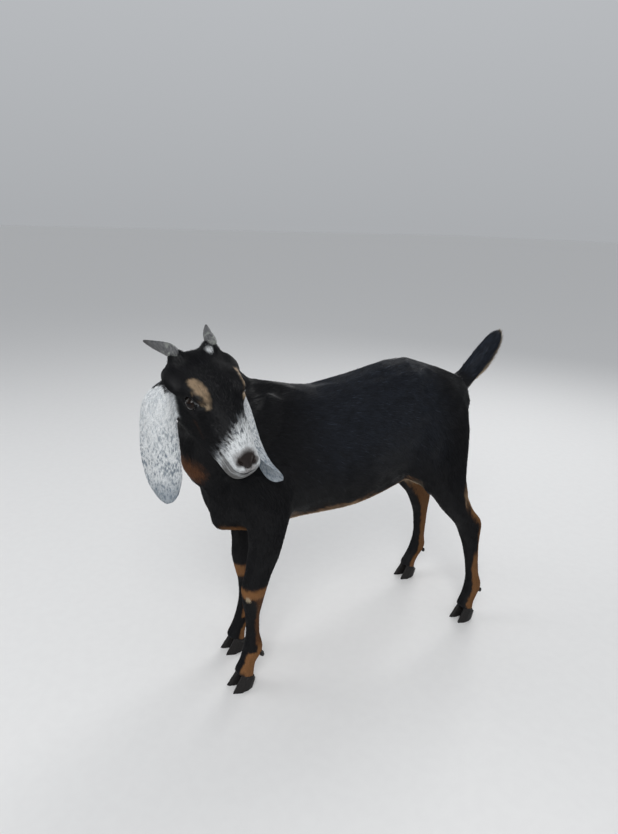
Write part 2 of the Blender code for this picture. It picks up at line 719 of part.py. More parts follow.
def main():
    for old in list(bpy.data.objects):
        bpy.data.objects.remove(old, do_unlink=True)
    goat = bpy.data.collections.new("goat")
    workshop = bpy.data.collections.new("workshop")
    bpy.context.scene.collection.children.link(goat)
    bpy.context.scene.collection.children.link(workshop)

    pieces = part_flesh(welded_flesh(workshop), workshop, goat)
    head = pieces["head"]
    extras = []
    for side, word in ((1, "left"), (-1, "right")):
        centre = in_head(side * EYE_PLACE[0], *EYE_PLACE[1:])
        socket = ball("socket", centre, EYE_RADIUS + GAP, workshop)
        cut_away(head, socket)
        drop(socket)
        extras.append(ball(f"eye_{word}", centre, EYE_RADIUS, goat))
        rows = LEFT_EAR if side > 0 else RIGHT_EAR
        for made in (horn(f"horn_{word}", side, goat), ear(f"ear_{word}", rows, goat)):
            seat(made, head, workshop)
            extras.append(made)
    for name, rows, _ in legs():
        top = leg_centre(rows, CORONET) + Vector((0, 0, -GAP * 1.2))
        for side, word in ((1, "left"), (-1, "right")):
            hoof = claw(f"{name}_claw_{word}", side, STANCE[name], goat)
            trim_top(hoof, top, blade_normal(CORONET_TILT))
            extras.append(hoof)
            root = leg_centre(rows, DEWCLAW_HEIGHT) + at(side * DEWCLAW_ROOT[0], DEWCLAW_ROOT[1], 0.0)
            made = dewclaw(f"{name}_dewclaw_{word}", root, side, goat)
            seat(made, pieces[f"{name}_foot"], workshop)
            extras.append(made)

    things = [*pieces.values(), *extras]
    for thing in things:
        finish_material(thing, *colour_of(thing.name))
    centre_on_floor(things)


main()
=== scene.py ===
"""The looks of the young lop-eared goat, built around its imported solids.

One skin replaces all the flesh. It is made from the solids themselves: they are swollen until the thin
cuts close, welded on a fine grid, smoothed, and drawn in by the depth of the coat. Lids, nostrils, mouth
and folds are then worked into it. The coat is short and lies flat: closed tufts, a millimetre wide,
rooted all over the skin and lying along it. Horns, hooves, dewclaws and eyes are pieces of their own.
The goat faces -Y, its left side is +X, and the floor is z = 0. Lengths are in metres.
"""

import math
from contextlib import contextmanager

import bmesh
import bpy
import numpy as np
from mathutils import Matrix, Vector
from mathutils.bvhtree import BVHTree


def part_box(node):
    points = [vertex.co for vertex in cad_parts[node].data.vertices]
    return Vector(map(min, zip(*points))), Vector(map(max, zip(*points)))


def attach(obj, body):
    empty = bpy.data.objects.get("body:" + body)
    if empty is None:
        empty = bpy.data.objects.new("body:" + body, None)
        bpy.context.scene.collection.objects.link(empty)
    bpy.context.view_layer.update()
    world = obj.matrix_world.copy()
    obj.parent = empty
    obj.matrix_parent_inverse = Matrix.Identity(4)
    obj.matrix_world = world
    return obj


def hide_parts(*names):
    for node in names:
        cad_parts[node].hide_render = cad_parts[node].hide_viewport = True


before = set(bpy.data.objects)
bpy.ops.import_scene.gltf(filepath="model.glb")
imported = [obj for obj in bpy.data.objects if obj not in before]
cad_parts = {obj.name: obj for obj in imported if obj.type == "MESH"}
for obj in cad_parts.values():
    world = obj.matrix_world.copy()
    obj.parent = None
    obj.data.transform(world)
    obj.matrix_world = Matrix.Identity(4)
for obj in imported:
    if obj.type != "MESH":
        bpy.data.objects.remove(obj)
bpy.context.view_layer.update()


def middle_x(node):
    return sum(corner.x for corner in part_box(node)) / 2


SPINE = middle_x("trunk")  # the body's own middle plane

# ---- the head's own frame, as in the solids ----
HEAD_TURN = 106.0         # degrees from straight ahead towards the goat's left
HEAD_DROP = 38.0          # degrees that the skull's axis points below the level
HEAD_ROLL = 9.5           # degrees that the left side is carried higher
EYE_RADIUS = 0.0135
EYE_PLACE = (0.0475, 0.009, -0.004)  # of the left eyeball's centre: left, ahead, up

# ---- skin ----
SWELL = 0.0004            # closes the thin cuts
GRAIN = 0.0021            # of the weld
SKIN_TRIANGLES = 120_000  # after the smooth parts are thinned out
SMOOTHING = 36            # rounds
LONGEST_EDGE = 0.012      # of the skin's triangles

# ---- coat, by region: depth of the coat, tuft length, tuft width, space between roots ----
COAT = {
    "trunk": (0.0026, 0.0135, 0.00120, 0.00215),
    "neck": (0.0026, 0.0120, 0.00115, 0.00210),
    "head": (0.0013, 0.0060, 0.00080, 0.00142),
    "tail": (0.0050, 0.0230, 0.00130, 0.00170),
    "ear_left": (0.0008, 0.0052, 0.00075, 0.00135),
    "ear_right": (0.0008, 0.0052, 0.00075, 0.00135),
    "upper": (0.0020, 0.0095, 0.00110, 0.00210),
    "cannon": (0.0014, 0.0075, 0.00095, 0.00180),
    "foot": (0.0011, 0.0055, 0.00085, 0.00160),
}
REGIONS = list(COAT)


def at(left, ahead, up):
    """A point given as left, ahead and up, in the model's axes."""
    return Vector((left, -ahead, up))


def head_frame():
    """The head's own axes as a matrix, with its origin midway between the eyes."""
    turn, drop = math.radians(HEAD_TURN), math.radians(HEAD_DROP)
    level = at(math.sin(turn), math.cos(turn), 0.0)
    nose = level * math.cos(drop) + at(0, 0, -math.sin(drop))
    crown = level * math.sin(drop) + at(0, 0, math.cos(drop))
    left = at(math.cos(turn), -math.sin(turn), 0.0)
    place = Matrix((left, -nose, crown)).transposed()
    place = (Matrix.Rotation(math.radians(HEAD_ROLL), 3, nose) @ place).to_4x4()
    corners = [corner for side in ("left", "right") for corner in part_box(f"eye_{side}")]
    middle = sum(corners, Vector()) / len(corners)
    place.translation = middle - place.to_3x3() @ at(0, *EYE_PLACE[1:])
    return place


HEAD = head_frame()
HEAD_AXES = np.array(HEAD)[:3, :3]    # one in each column: left, behind, up


# ---- meshes as arrays ----
def read(items, field, width, kind=np.float32):
    """One field of all the vertices, edges or corners, with a row for each."""
    flat = np.empty(len(items) * width, kind)
    items.foreach_get(field, flat)
    return flat.reshape(-1, width)


def read_points(mesh):
    return read(mesh.vertices, "co", 3).astype(np.float64)


def read_normals(mesh):
    return read(mesh.vertices, "normal", 3).astype(np.float64)


def write_points(mesh, points):
    mesh.vertices.foreach_set("co", points.astype(np.float32).ravel())
    mesh.update()


def read_triangles(mesh):
    mesh.calc_loop_triangles()
    return read(mesh.loop_triangles, "vertices", 3, np.int32)


def mesh_from(name, points, triangles):
    """A mesh from arrays of points and triangles."""
    mesh = bpy.data.meshes.new(name)
    mesh.vertices.add(len(points))
    mesh.vertices.foreach_set("co", points.astype(np.float32).ravel())
    mesh.loops.add(triangles.size)
    mesh.loops.foreach_set("vertex_index", triangles.astype(np.int32).ravel())
    mesh.polygons.add(len(triangles))
    mesh.polygons.foreach_set("loop_start", np.arange(0, triangles.size, 3, dtype=np.int32))
    mesh.update(calc_edges=True)
    mesh.shade_smooth()
    return mesh


def new_object(name, mesh):
    thing = bpy.data.objects.new(name, mesh)
    bpy.context.scene.collection.objects.link(thing)
    return thing


def applied(thing):
    """The object's mesh with its modifiers applied; the object goes."""
    bpy.context.view_layer.update()
    graph = bpy.context.evaluated_depsgraph_get()
    mesh = bpy.data.meshes.new_from_object(thing.evaluated_get(graph))
    bpy.data.objects.remove(thing, do_unlink=True)
    return mesh


@contextmanager
def edited(mesh):
    """The mesh as a BMesh, which is written back to it at the end."""
    bm = bmesh.new()
    bm.from_mesh(mesh)
    yield bm
    bm.to_mesh(mesh)
    bm.free()
    mesh.update()


def unit(vectors):
    return vectors / np.maximum(np.linalg.norm(vectors, axis=1, keepdims=True), 1e-9)


def blend(base, other, share):
    """The base colours moved towards the others, all the way where the share is 1."""
    return base + (other - base) * share[:, None]


def bell(gap, wide):
    """1 where there is no gap, and soon 0 beyond the width, on both sides."""
    return np.exp(-((gap / wide) ** 2))


def mirrored(places):
    """The places with those of the right side taken over to the left."""
    return np.stack([np.abs(places[:, 0]), places[:, 1], places[:, 2]], 1)


def step(values, low, high):
    """0 at low, 1 at high, smooth between; low may be the greater."""
    t = np.clip((values - low) / (high - low), 0, 1)
    return t * t * (3 - 2 * t)


class Spread:
    """Averages values over neighbouring vertices."""

    def __init__(self, mesh):
        self.edges = read(mesh.edges, "vertices", 2, np.int32)
        self.count = len(mesh.vertices)
        self.degree = np.maximum(np.bincount(self.edges.ravel(), minlength=self.count), 1)

    def mean(self, values):
        a, b = self.edges.T
        out = np.empty_like(values)
        for k in range(values.shape[1]):
            column = values[:, k]
            out[:, k] = np.bincount(a, column[b], self.count) + np.bincount(b, column[a], self.count)
        return out / self.degree[:, None]

    def smooth(self, values, rounds, share=0.5):
        for _ in range(rounds):
            values = values + (self.mean(values) - values) * share
        return values


def lattice_noise(points, size, seed=0):
    """Smooth noise from 0 to 1 with bumps of a given size, or of three sizes along the axes."""
    place = points / np.asarray(size)
    cell = np.floor(place).astype(np.int64)
    part = place - cell
    part = part * part * (3 - 2 * part)
    total = np.zeros(len(points))
    for corner in range(8):
        offset = np.array([corner >> 2 & 1, corner >> 1 & 1, corner & 1])
        x, y, z = (cell + offset).T
        mixed = (x * 73856093) ^ (y * 19349663) ^ (z * 83492791) ^ (seed * 1640531527)
        mixed = (mixed ^ (mixed >> 13)) * 1274126177 & 0x7FFFFFFF
        value = ((mixed ^ (mixed >> 16)) & 0xFFFFF) / 0xFFFFF
        total += value * np.prod(np.where(offset, part, 1 - part), axis=1)
    return total


# ---- the skin ----
FLESH = [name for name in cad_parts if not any(word in name for word in ("eye", "horn", "claw"))]


def region_of(node):
    for word in ("forearm", "gaskin"):
        if node.endswith(word):
            return "upper"
    for word in ("cannon", "foot"):
        if node.endswith(word):
            return word
    return node


def node_arrays(node, levels=0):
    """A node's points, outward normals and faces, with shared corners and as many rounds of subdivision."""
    bm = bmesh.new()
    bm.from_mesh(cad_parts[node].data)
    bmesh.ops.remove_doubles(bm, verts=bm.verts, dist=1e-6)
    mesh = bpy.data.meshes.new(node)
    bm.to_mesh(mesh)
    bm.free()
    if levels:
        thing = new_object(node, mesh)
        rounder = thing.modifiers.new("Round", "SUBSURF")
        rounder.levels = rounder.render_levels = levels
        mesh = applied(thing)
    return read_points(mesh), read_normals(mesh), read_triangles(mesh)


def joined(nodes, swell, levels=None):
    """The nodes as one set of points and triangles, and the node that each triangle comes from."""
    points, triangles, owners, start = [], [], [], 0
    for index, node in enumerate(nodes):
        some, normals, faces = node_arrays(node, (levels or {}).get(node, 0))
        points.append(some + normals * swell)
        triangles.append(faces + start)
        owners.append(np.full(len(faces), index))
        start += len(some)
    return np.concatenate(points), np.concatenate(triangles), np.concatenate(owners)


def welded(name, points, triangles, grain):
    thing = new_object(name, mesh_from(name, points, triangles))
    weld = thing.modifiers.new("Weld", "REMESH")
    weld.mode = "VOXEL"
    weld.voxel_size = grain
    return applied(thing)


def region_weights(mesh, spread, rounds):
    """How much each vertex belongs to each region, soft across the borders; and its nearest node."""
    points, triangles, owners = joined(FLESH, 0.0)
    tree = BVHTree.FromPolygons(points.tolist(), triangles.tolist())
    nearest = np.array([tree.find_nearest(p)[2] for p in read_points(mesh).tolist()])
    node = owners[nearest]
    column = np.array([REGIONS.index(region_of(name)) for name in FLESH])[node]
    return spread.smooth(np.eye(len(REGIONS))[column], rounds), node


def share_of(weights, region):
    return weights[:, REGIONS.index(region)]


def by_region(weights, part):
    """One of the coat's measures at each vertex."""
    return weights @ np.array([COAT[name][part] for name in REGIONS])


# How far smoothing moves each region, as a share; 1 for those not named.
GIVE = {"head": 0.45, "ear_left": 0.3, "ear_right": 0.3, "foot": 0.5, "tail": 0.7, "cannon": 0.8}
PLAIN = ("trunk", "neck", "upper")     # the regions that can be thinned out most


def smooth_skin():
    """The flesh welded, smoothed without losing its volume, and thinned out where it is plain."""
    points, triangles, _ = joined(FLESH, SWELL, {"ear_left": 2, "ear_right": 2})
    raw = welded("raw", points, triangles, GRAIN)
    spread = Spread(raw)
    weights, _ = region_weights(raw, spread, 6)
    give = weights @ np.array([GIVE.get(name, 1.0) for name in REGIONS])
    place = read_points(raw)
    for rounds in (SMOOTHING, SMOOTHING // 3):
        moved = spread.smooth(place, rounds, 0.5 * give[:, None])
        place = moved - spread.smooth(moved - place, rounds)      # what was lost comes back
    write_points(raw, place)
    thing = new_object("thin", raw)
    group = thing.vertex_groups.new(name="plain")
    plain = weights @ np.array([float(name in PLAIN) for name in REGIONS])
    for level in range(11):
        chosen = np.flatnonzero(np.round(plain * 10) == level)
        group.add(chosen.tolist(), 0.02 + 0.098 * level, "REPLACE")
    thin = thing.modifiers.new("Thin", "DECIMATE")
    thin.ratio = SKIN_TRIANGLES / (2 * len(raw.polygons))
    thin.vertex_group = group.name
    thin.vertex_group_factor = 4.0
    return applied(thing)


# ---- lids, nostrils, lips ----
EYE_OUT = (0.86, 0.28, 0.28)      # the way an eye looks, in the head's frame: left, ahead, up
EYE_FRONT = (0.0, 1.0, 0.60)      # the way the front corner of its opening points, more or less
EYE_HALF = 0.0110                 # half the length of the opening between the lids
EYE_RISE = (0.0060, 0.0054)       # its height above and below the middle
LID = 0.0013                      # the lids stand this far out from the eyeball
COVER = 0.0010                    # least depth of skin over the eyeball outside the opening
SLIT = 0.0030                     # inside the opening the skin lies this deep in the eyeball
SOCKET = 0.032                    # the skin is drawn over the eyeball this far from its centre
LID_FOLDS = (                     # rim and two creases: height, place outside the opening, breadth
    (0.0006, 0.0010, 0.0010), (-0.0012, 0.0042, 0.0010), (-0.0007, 0.0072, 0.0012),
)
NOSTRIL = (                       # the slit of one nostril from its low inner end: left, ahead, up
    (0.0060, 0.1440, -0.0440), (0.0095, 0.1405, -0.0390),
    (0.0140, 0.1345, -0.0350), (0.0185, 0.1265, -0.0325),
)
MOUTH = (                         # the line between the lips from the front to one corner
    (0.0, 0.1480, -0.0555), (0.0100, 0.1470, -0.0535), (0.0177, 0.1454, -0.0515),
    (0.0256, 0.1360, -0.0527), (0.0299, 0.1180, -0.0492), (0.0321, 0.0970, -0.0464),
)
GROOVE = ((0, 0.1480, -0.0440), (0, 0.1480, -0.0545))    # from the nose down to the lips
FACE_FOLDS = (                    # over the brow, before and under the eye, the jaw: line, depth, breadth
    (((0.030, -0.016, 0.034), (0.041, 0.006, 0.020), (0.044, 0.026, 0.006)), 0.0007, 0.0016),
    (((0.052, 0.030, -0.010), (0.043, 0.046, -0.020), (0.036, 0.066, -0.030)), 0.0009, 0.0022),
    (((0.053, -0.008, -0.026), (0.050, 0.014, -0.030), (0.044, 0.034, -0.030)), 0.0008, 0.0018),
    (((0.046, -0.040, -0.030), (0.044, -0.010, -0.052), (0.038, 0.030, -0.062)), 0.0012, 0.0050),
)
PAD_CENTRE = (0.0, 0.1325, -0.0355)  # bare skin round and between the nostrils
PAD_HALF = (0.0205, 0.0150, 0.0120)
NOSE_TURN = 0.003                 # the nose lies this far to the goat's right of the skull's middle


def head_places(points):
    """Points of the model as left, ahead and up in the head's frame."""
    inverse = np.array(HEAD.inverted())
    local = points @ inverse[:3, :3].T + inverse[:3, 3]
    return local * (1, -1, 1)


def from_head_places(places):
    return (places * (1, -1, 1)) @ HEAD_AXES.T + np.array(HEAD)[:3, 3]


def nose_places(places):
    """The places measured from the middle of the nose, which turns a little to the goat's right."""
    return places + np.outer(NOSE_TURN * step(places[:, 1], 0.07, 0.13), (1, 0, 0))


def eye_axes():
    """Outward, towards the nose and up: the left eye's axes in the head's frame."""
    out = np.array(EYE_OUT) / np.linalg.norm(EYE_OUT)
    front = np.array(EYE_FRONT)
    front -= out * (front @ out)
    front /= np.linalg.norm(front)
    up = np.cross(out, front)
    return out, front, up if up[2] > 0 else -up


def eye_places(places, side):
    """Where places lie about an eyeball: distance from its centre, depth along the way that it looks,
    arc up its front, and how far outside the opening between the lids."""
    out, front, up = eye_axes()
    offset = places * (side, 1, 1) - EYE_PLACE
    radius = np.linalg.norm(offset, axis=1)
    depth = offset @ out
    along = EYE_RADIUS * np.arctan2(offset @ front, depth)
    rise = EYE_RADIUS * np.arctan2(offset @ up, depth)
    share = 1 - np.clip(np.abs(along) / EYE_HALF, 0, 1) ** 2.1
    outside = np.maximum(rise - EYE_RISE[0] * share, -rise - EYE_RISE[1] * share)
    beyond = np.abs(along) - EYE_HALF
    outside = np.where(beyond > 0, np.hypot(beyond, np.abs(rise)), outside)
    return radius, depth, rise, outside


def near_line(places, line, side=1):
    """Distance from each point to a bent line, and how far along it the nearest place lies, 0 to 1."""
    line = np.array(line) * (side, 1, 1)
    best = np.full(len(places), 1e9)
    where = np.zeros(len(places))
    for i, (a, b) in enumerate(zip(line, line[1:])):
        t = np.clip((places - a) @ (b - a) / ((b - a) @ (b - a)), 0, 1)
        gap = np.linalg.norm(places - a - t[:, None] * (b - a), axis=1)
        closer = gap < best
        best = np.where(closer, gap, best)
        where = np.where(closer, (i + t) / (len(line) - 1), where)
    return best, where


def mouth_gap(nose, side=1):
    """How far above or below the line between the lips, and how far along it; huge behind its corner."""
    flat = (0.35, 0.35, 1.0)
    gap, where = near_line(nose * flat, np.array(MOUTH) * flat, side)
    return gap + 0.02 * (1 - step(nose[:, 1], 0.088, 0.096)), where


def carve_lids(places):
    """Draws the skin over the eyeballs as lids, with a rim, two creases and an open slit."""
    for side in (1, -1):
        radius, depth, _, outside = eye_places(places, side)
        rim, crease, second = (high * bell(outside - far, wide) for high, far, wide in LID_FOLDS)
        lid = EYE_RADIUS + LID + rim + crease + second
        shell = EYE_RADIUS - SLIT + (LID + rim + SLIT) * step(outside, -0.0007, 0.0005)
        shell = np.where(outside > 0.0005, lid, shell)
        drawn = radius + (shell - radius) * (1 - step(outside, 0.0060, 0.0130))
        chosen = (depth > 0.001) & (radius < SOCKET) & (outside < 0.0135)
        wanted = np.where(chosen, drawn, radius)
        around = (outside > 0.0005) & (radius < SOCKET) & (places[:, 0] * side > 0.010)
        wanted = np.where(around, np.maximum(wanted, EYE_RADIUS + COVER), wanted)
        centre = np.array(EYE_PLACE) * (side, 1, 1)
        moved = centre + (places - centre) * (wanted / np.maximum(radius, 1e-6))[:, None]
        places = np.where((chosen | around)[:, None], moved, places)
    return places


def carve_muzzle(places, normals):
    """Nostril slits and the line of the mouth, each with a soft rim, and the groove under the nose."""
    push = np.zeros(len(places))
    nose = nose_places(places)
    for side in (1, -1):
        gap, where = near_line(nose, NOSTRIL, side)
        push -= (0.0062 - 0.0030 * where) * bell(gap, 0.0026 - 0.0013 * where)
        push += 0.0011 * bell(gap - 0.0050, 0.0018)
        gap, where = mouth_gap(nose, side)
        front = nose[:, 0] * side > -0.001
        push -= front * (0.0045 - 0.0015 * where) * bell(gap, 0.0016)
        push += front * 0.0011 * bell(gap - 0.0040, 0.0020)
    push -= 0.0013 * bell(near_line(nose, GROOVE)[0], 0.0011)
    return places + normals * push[:, None]


def carve_folds(places, normals):
    """The soft folds of a lean face."""
    push = np.zeros(len(places))
    for side in (1, -1):
        for line, deep, wide in FACE_FOLDS:
            push -= deep * bell(near_line(places, line, side)[0], wide)
    return places + normals * push[:, None]


def finer(mesh, chosen_of):
    """Halves the edges whose two ends are chosen."""
    with edited(mesh) as bm:
        bmesh.ops.triangulate(bm, faces=bm.faces)
        bm.verts.ensure_lookup_table()
        chosen = chosen_of(np.array([v.co for v in bm.verts]))
        edges = [edge for edge in bm.edges if chosen[edge.verts[0].index] and chosen[edge.verts[1].index]]
        bmesh.ops.subdivide_edges(bm, edges=edges, cuts=1, use_grid_fill=True)
        bmesh.ops.triangulate(bm, faces=bm.faces)


def split_long(mesh, limit, rounds):
    """Halves every edge that is longer than the limit, a few times over."""
    with edited(mesh) as bm:
        for _ in range(rounds):
            long = [edge for edge in bm.edges if edge.calc_length() > limit]
            bmesh.ops.subdivide_edges(bm, edges=long, cuts=1)
            bmesh.ops.triangulate(bm, faces=[face for face in bm.faces if len(face.verts) > 3])


def near_eyes(points):
    return np.linalg.norm(mirrored(head_places(points)) - EYE_PLACE, axis=1) < 0.026


def on_muzzle(points):
    left, ahead, up = head_places(points).T
    return (ahead > 0.088) & (ahead < 0.17) & (np.abs(left) < 0.05) & (np.abs(up + 0.05) < 0.06)


def near_opening(places, reach, wide, middle=0.0):
    """Whether places near an eyeball's front lie along the edge of the opening between its lids."""
    close = np.zeros(len(places), bool)
    for side in (1, -1):
        radius, depth, _, outside = eye_places(places, side)
        close |= (depth > 0) & (radius < reach) & (np.abs(outside - middle) < wide)
    return close


def near_slits(points):
    places = head_places(points)
    nose = nose_places(places)
    close = near_opening(places, 0.022, 0.003)
    for side in (1, -1):
        close |= near_line(nose, NOSTRIL, side)[0] < 0.006
        close |= (mouth_gap(nose, side)[0] < 0.004) & (np.abs(places[:, 0]) < 0.045)
    return close


def near_lid_edges(points):
    return near_opening(head_places(points), 0.020, 0.0014, 0.0002)


def carve_eyes(mesh):
    """Carves the lids into the mesh, and gives its places in the head's frame."""
    places = carve_lids(head_places(read_points(mesh)))
    write_points(mesh, from_head_places(places))
    return places


def add_skin():
    """The skin, with its vertices' neighbours, regions and nearest nodes."""
    mesh = smooth_skin()
    split_long(mesh, LONGEST_EDGE, 2)
    weights, _ = region_weights(mesh, Spread(mesh), 8)
    depth = by_region(weights, 0) + SWELL
    write_points(mesh, read_points(mesh) - read_normals(mesh) * depth[:, None])
    finer(mesh, near_eyes)
    finer(mesh, on_muzzle)
    carve_eyes(mesh)
    for chosen_of in (near_slits, near_lid_edges):
        finer(mesh, chosen_of)
        places = carve_eyes(mesh)
    spread = Spread(mesh)
    weights, node = region_weights(mesh, spread, 10)
    normals = (read_normals(mesh) @ HEAD_AXES) * (1, -1, 1)
    worked = carve_folds(carve_muzzle(places, normals), normals)
    places = np.where(share_of(weights, "head")[:, None] > 0.3, worked, places)
    write_points(mesh, from_head_places(places))
    skin = new_object("skin", mesh)
    mesh.shade_smooth()
    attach(skin, "root")
    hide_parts(*FLESH)
    return skin, spread, weights, node


# ---- the lie of the coat ----
LIE = {                           # the way the hair lies in each region but trunk and head
    "neck": (-0.085, 0.166, -0.182),
    "tail": (0.0, 0.165, 0.153),
    "ear_left": (0.30, 0.45, -1.0),
    "ear_right": (0.02, -0.08, -1.0),
    "upper": (0.0, 0.12, -1.0),
    "cannon": (0.0, 0.0, -1.0),
    "foot": (0.0, -0.30, -1.0),
}


def along_skin(ways, normals):
    """The ways laid flat on the skin."""
    return unit(ways - normals * np.sum(ways * normals, 1, keepdims=True))


def lie_of_coat(points, normals, weights, spread):
    """The way the hair lies at each vertex: away from the nose, back, and down the legs."""
    y, z = points[:, 1], points[:, 2]
    nx, ny, nz = normals.T
    fore = (1 - step(y, -0.19, -0.13)) * step(z, 0.54, 0.40)
    hind = step(y, 0.11, 0.20) * step(z, 0.60, 0.44)
    ends = step(-ny, 0.5, 0.9) + step(ny, 0.5, 0.9)
    down = np.clip(0.28 * np.abs(nx) + fore + hind + ends, 0, 1)
    down *= 1 - step(-nz, 0.5, 0.9) * (z < 0.42)
    across = (normals @ HEAD_AXES)[:, 0]
    face = np.stack([0.15 * np.sign(across), np.ones(len(points)), -0.35 * np.abs(across)], 1)
    ways = {"trunk": np.stack([0 * down, 1 - down, -down], 1), "head": face @ HEAD_AXES.T, **LIE}
    lie = np.zeros_like(points)
    for name in REGIONS:
        way = np.broadcast_to(np.asarray(ways[name], float), points.shape)
        lie += share_of(weights, name)[:, None] * unit(way)
    for _ in range(16):
        lie = spread.smooth(along_skin(lie, normals), 4)
    wave = np.stack([lattice_noise(points, 0.045, seed) for seed in (1, 2, 3)], 1) - 0.5
    return along_skin(lie + 0.35 * wave, normals)


# ---- markings ----
BLACK = np.array((0.0040, 0.0041, 0.0052))
SLATE = np.array((0.0170, 0.0210, 0.0300))      # blue-grey: a painted sheen on the upper barrel, and the tail's own grey
TAN = np.array((0.250, 0.115, 0.042))
BROWN = np.array((0.095, 0.038, 0.015))
SHADED_THROAT_TAN = np.array((0.135, 0.053, 0.021))          # the throat's tan patch, painted darker with the shade under the jaw
BROW = np.array((0.330, 0.240, 0.155))
CREAM = np.array((0.600, 0.480, 0.330))
WHITE = np.array((0.850, 0.880, 0.895))
BLUE_GREY = np.array((0.125, 0.170, 0.220))
SPECK = np.array((0.045, 0.055, 0.070))
PAD = np.array((0.020, 0.014, 0.012))
PINK = np.array((0.300, 0.120, 0.085))


def ball_mask(places, centre, half, soft=0.25, ragged=0.0, noise=None):
    """1 inside an ellipsoid, 0 outside, with a soft or ragged edge."""
    gap = np.linalg.norm((places - np.array(centre)) / np.array(half), axis=1)
    if noise is not None:
        gap = gap + ragged * (noise - 0.5)
    return 1 - step(gap, 1 - soft, 1 + soft)


def fringe_share(normals, weights):
    """1 along the tail's rear and lower edge, where long pale hair hangs."""
    low = normals @ np.array((0.0, 0.72, -0.69))
    return share_of(weights, "tail") * step(low, 0.35, 0.85)


# Marks as balls in the body's axes: middle, half sizes, softness and raggedness of the edge.
GROIN = ((0.0, 0.178, 0.405), (0.075, 0.040, 0.036), 0.25, 0.5)
BRISKET = ((0.0, -0.285, 0.372), (0.044, 0.034, 0.020), 0.3, 0.6)
DOCK = ((0.0, 0.395, 0.622), (0.026, 0.030, 0.026), 0.3, 0.4)      # under the tail
THROAT = ((0.030, -0.382, 0.548), (0.027, 0.036, 0.042), 0.35, 0.6)


def hair_colours(points, normals, weights, node):
    """The coat's colour at each point, from named places and functions, without any picture."""
    share = {name: share_of(weights, name) for name in REGIONS}
    fine = lattice_noise(points, 0.0045, 11)
    coarse = lattice_noise(points, 0.013, 12)
    ragged = 0.5 * fine + 0.5 * coarse
    body = points - (SPINE, 0, 0)
    x, y, z = body.T
    nx, ny, nz = normals.T

    # painted sheen: the black of the upper barrel is lightened to blue-grey where light glances off it
    barrel = share["trunk"] * step(z, 0.42, 0.58) * step(0.33 - y, 0.06, 0.16) * step(y, -0.20, -0.06)
    colour = blend(BLACK, SLATE, barrel * (0.35 + 0.45 * coarse))
    colour = blend(colour, SLATE * 1.25, share["tail"] * (0.45 + 0.5 * coarse))
    fringe = fringe_share(normals, weights)
    colour = blend(colour, CREAM * 0.85, fringe * (0.30 + 0.65 * step(fine, 0.30, 0.60)))

    under = share["trunk"] * step(-nz + 0.22 * (ragged - 0.5), 0.58, 0.80) * (z < 0.46)
    belly = under * step(y, -0.185, -0.155) * step(0.19 - y, 0.0, 0.03)
    colour = blend(colour, TAN, belly)
    colour = blend(colour, CREAM, belly * step(-nz, 0.55, 0.95) * 0.7)
    colour = blend(colour, CREAM, ball_mask(body, *GROIN, ragged) * step(-nz, 0.30, 0.70))
    colour = blend(colour, TAN * 0.8, ball_mask(body, *BRISKET, ragged))

    dock = ball_mask(body, *DOCK, ragged) * step(ny - 0.5 * nz, 0.45, 0.75)
    aside = step(np.abs(x), 0.006, 0.012)
    colour = blend(colour, CREAM, dock * aside)
    colour = blend(colour, PINK * 0.7, dock * (1 - aside))

    # the throat's own tan, painted darker as the shade under the jaw
    throat = ball_mask(body, *THROAT, ragged) * step(-ny + 0.35 * nx, 0.25, 0.6)
    colour = blend(colour, SHADED_THROAT_TAN, throat * (1 - share["head"]))

    colour = leg_colours(colour, points, normals, share, node, ragged)
    colour = head_colours(colour, points, share, ragged, fine)
    return ear_colours(colour, points, share)


def fore_colours(colour, points, leg, is_fore, front, outer, nx, rough):
    """Black down the front, tan behind and inside, and a tan band at the knee."""
    z = points[:, 2]
    on_left = points[:, 0] > SPINE
    band_floor = np.where(on_left, 0.230, 0.190)
    band_top = np.where(on_left, 0.257, 0.234)
    stripe = step(front + 0.30 * outer + rough, 0.10, 0.42)
    pastern = step(0.100 - z, 0.0, 0.02)
    stripe = np.where(pastern > 0.5, step(front - 0.55 * outer + rough, 0.30, 0.60), stripe)
    under_top = step(band_top - z + 0.012 * rough, 0.0, 0.008)
    band = step(z - band_floor + 0.016 * rough + 0.006 * outer, 0.0, 0.008) * under_top
    band *= step(front + 0.65 * outer + 0.45 * np.abs(nx), -0.1, 0.25)
    tan = np.maximum((1 - stripe) * under_top, band)
    shade = blend(TAN, BROWN, 0.90 * step(z, 0.09, 0.12) * (1 - band))
    colour = blend(colour, shade, tan * leg * is_fore)
    return blend(colour, CREAM * 0.8, ball_mask(points, *KNEE_SPOT) * is_fore)


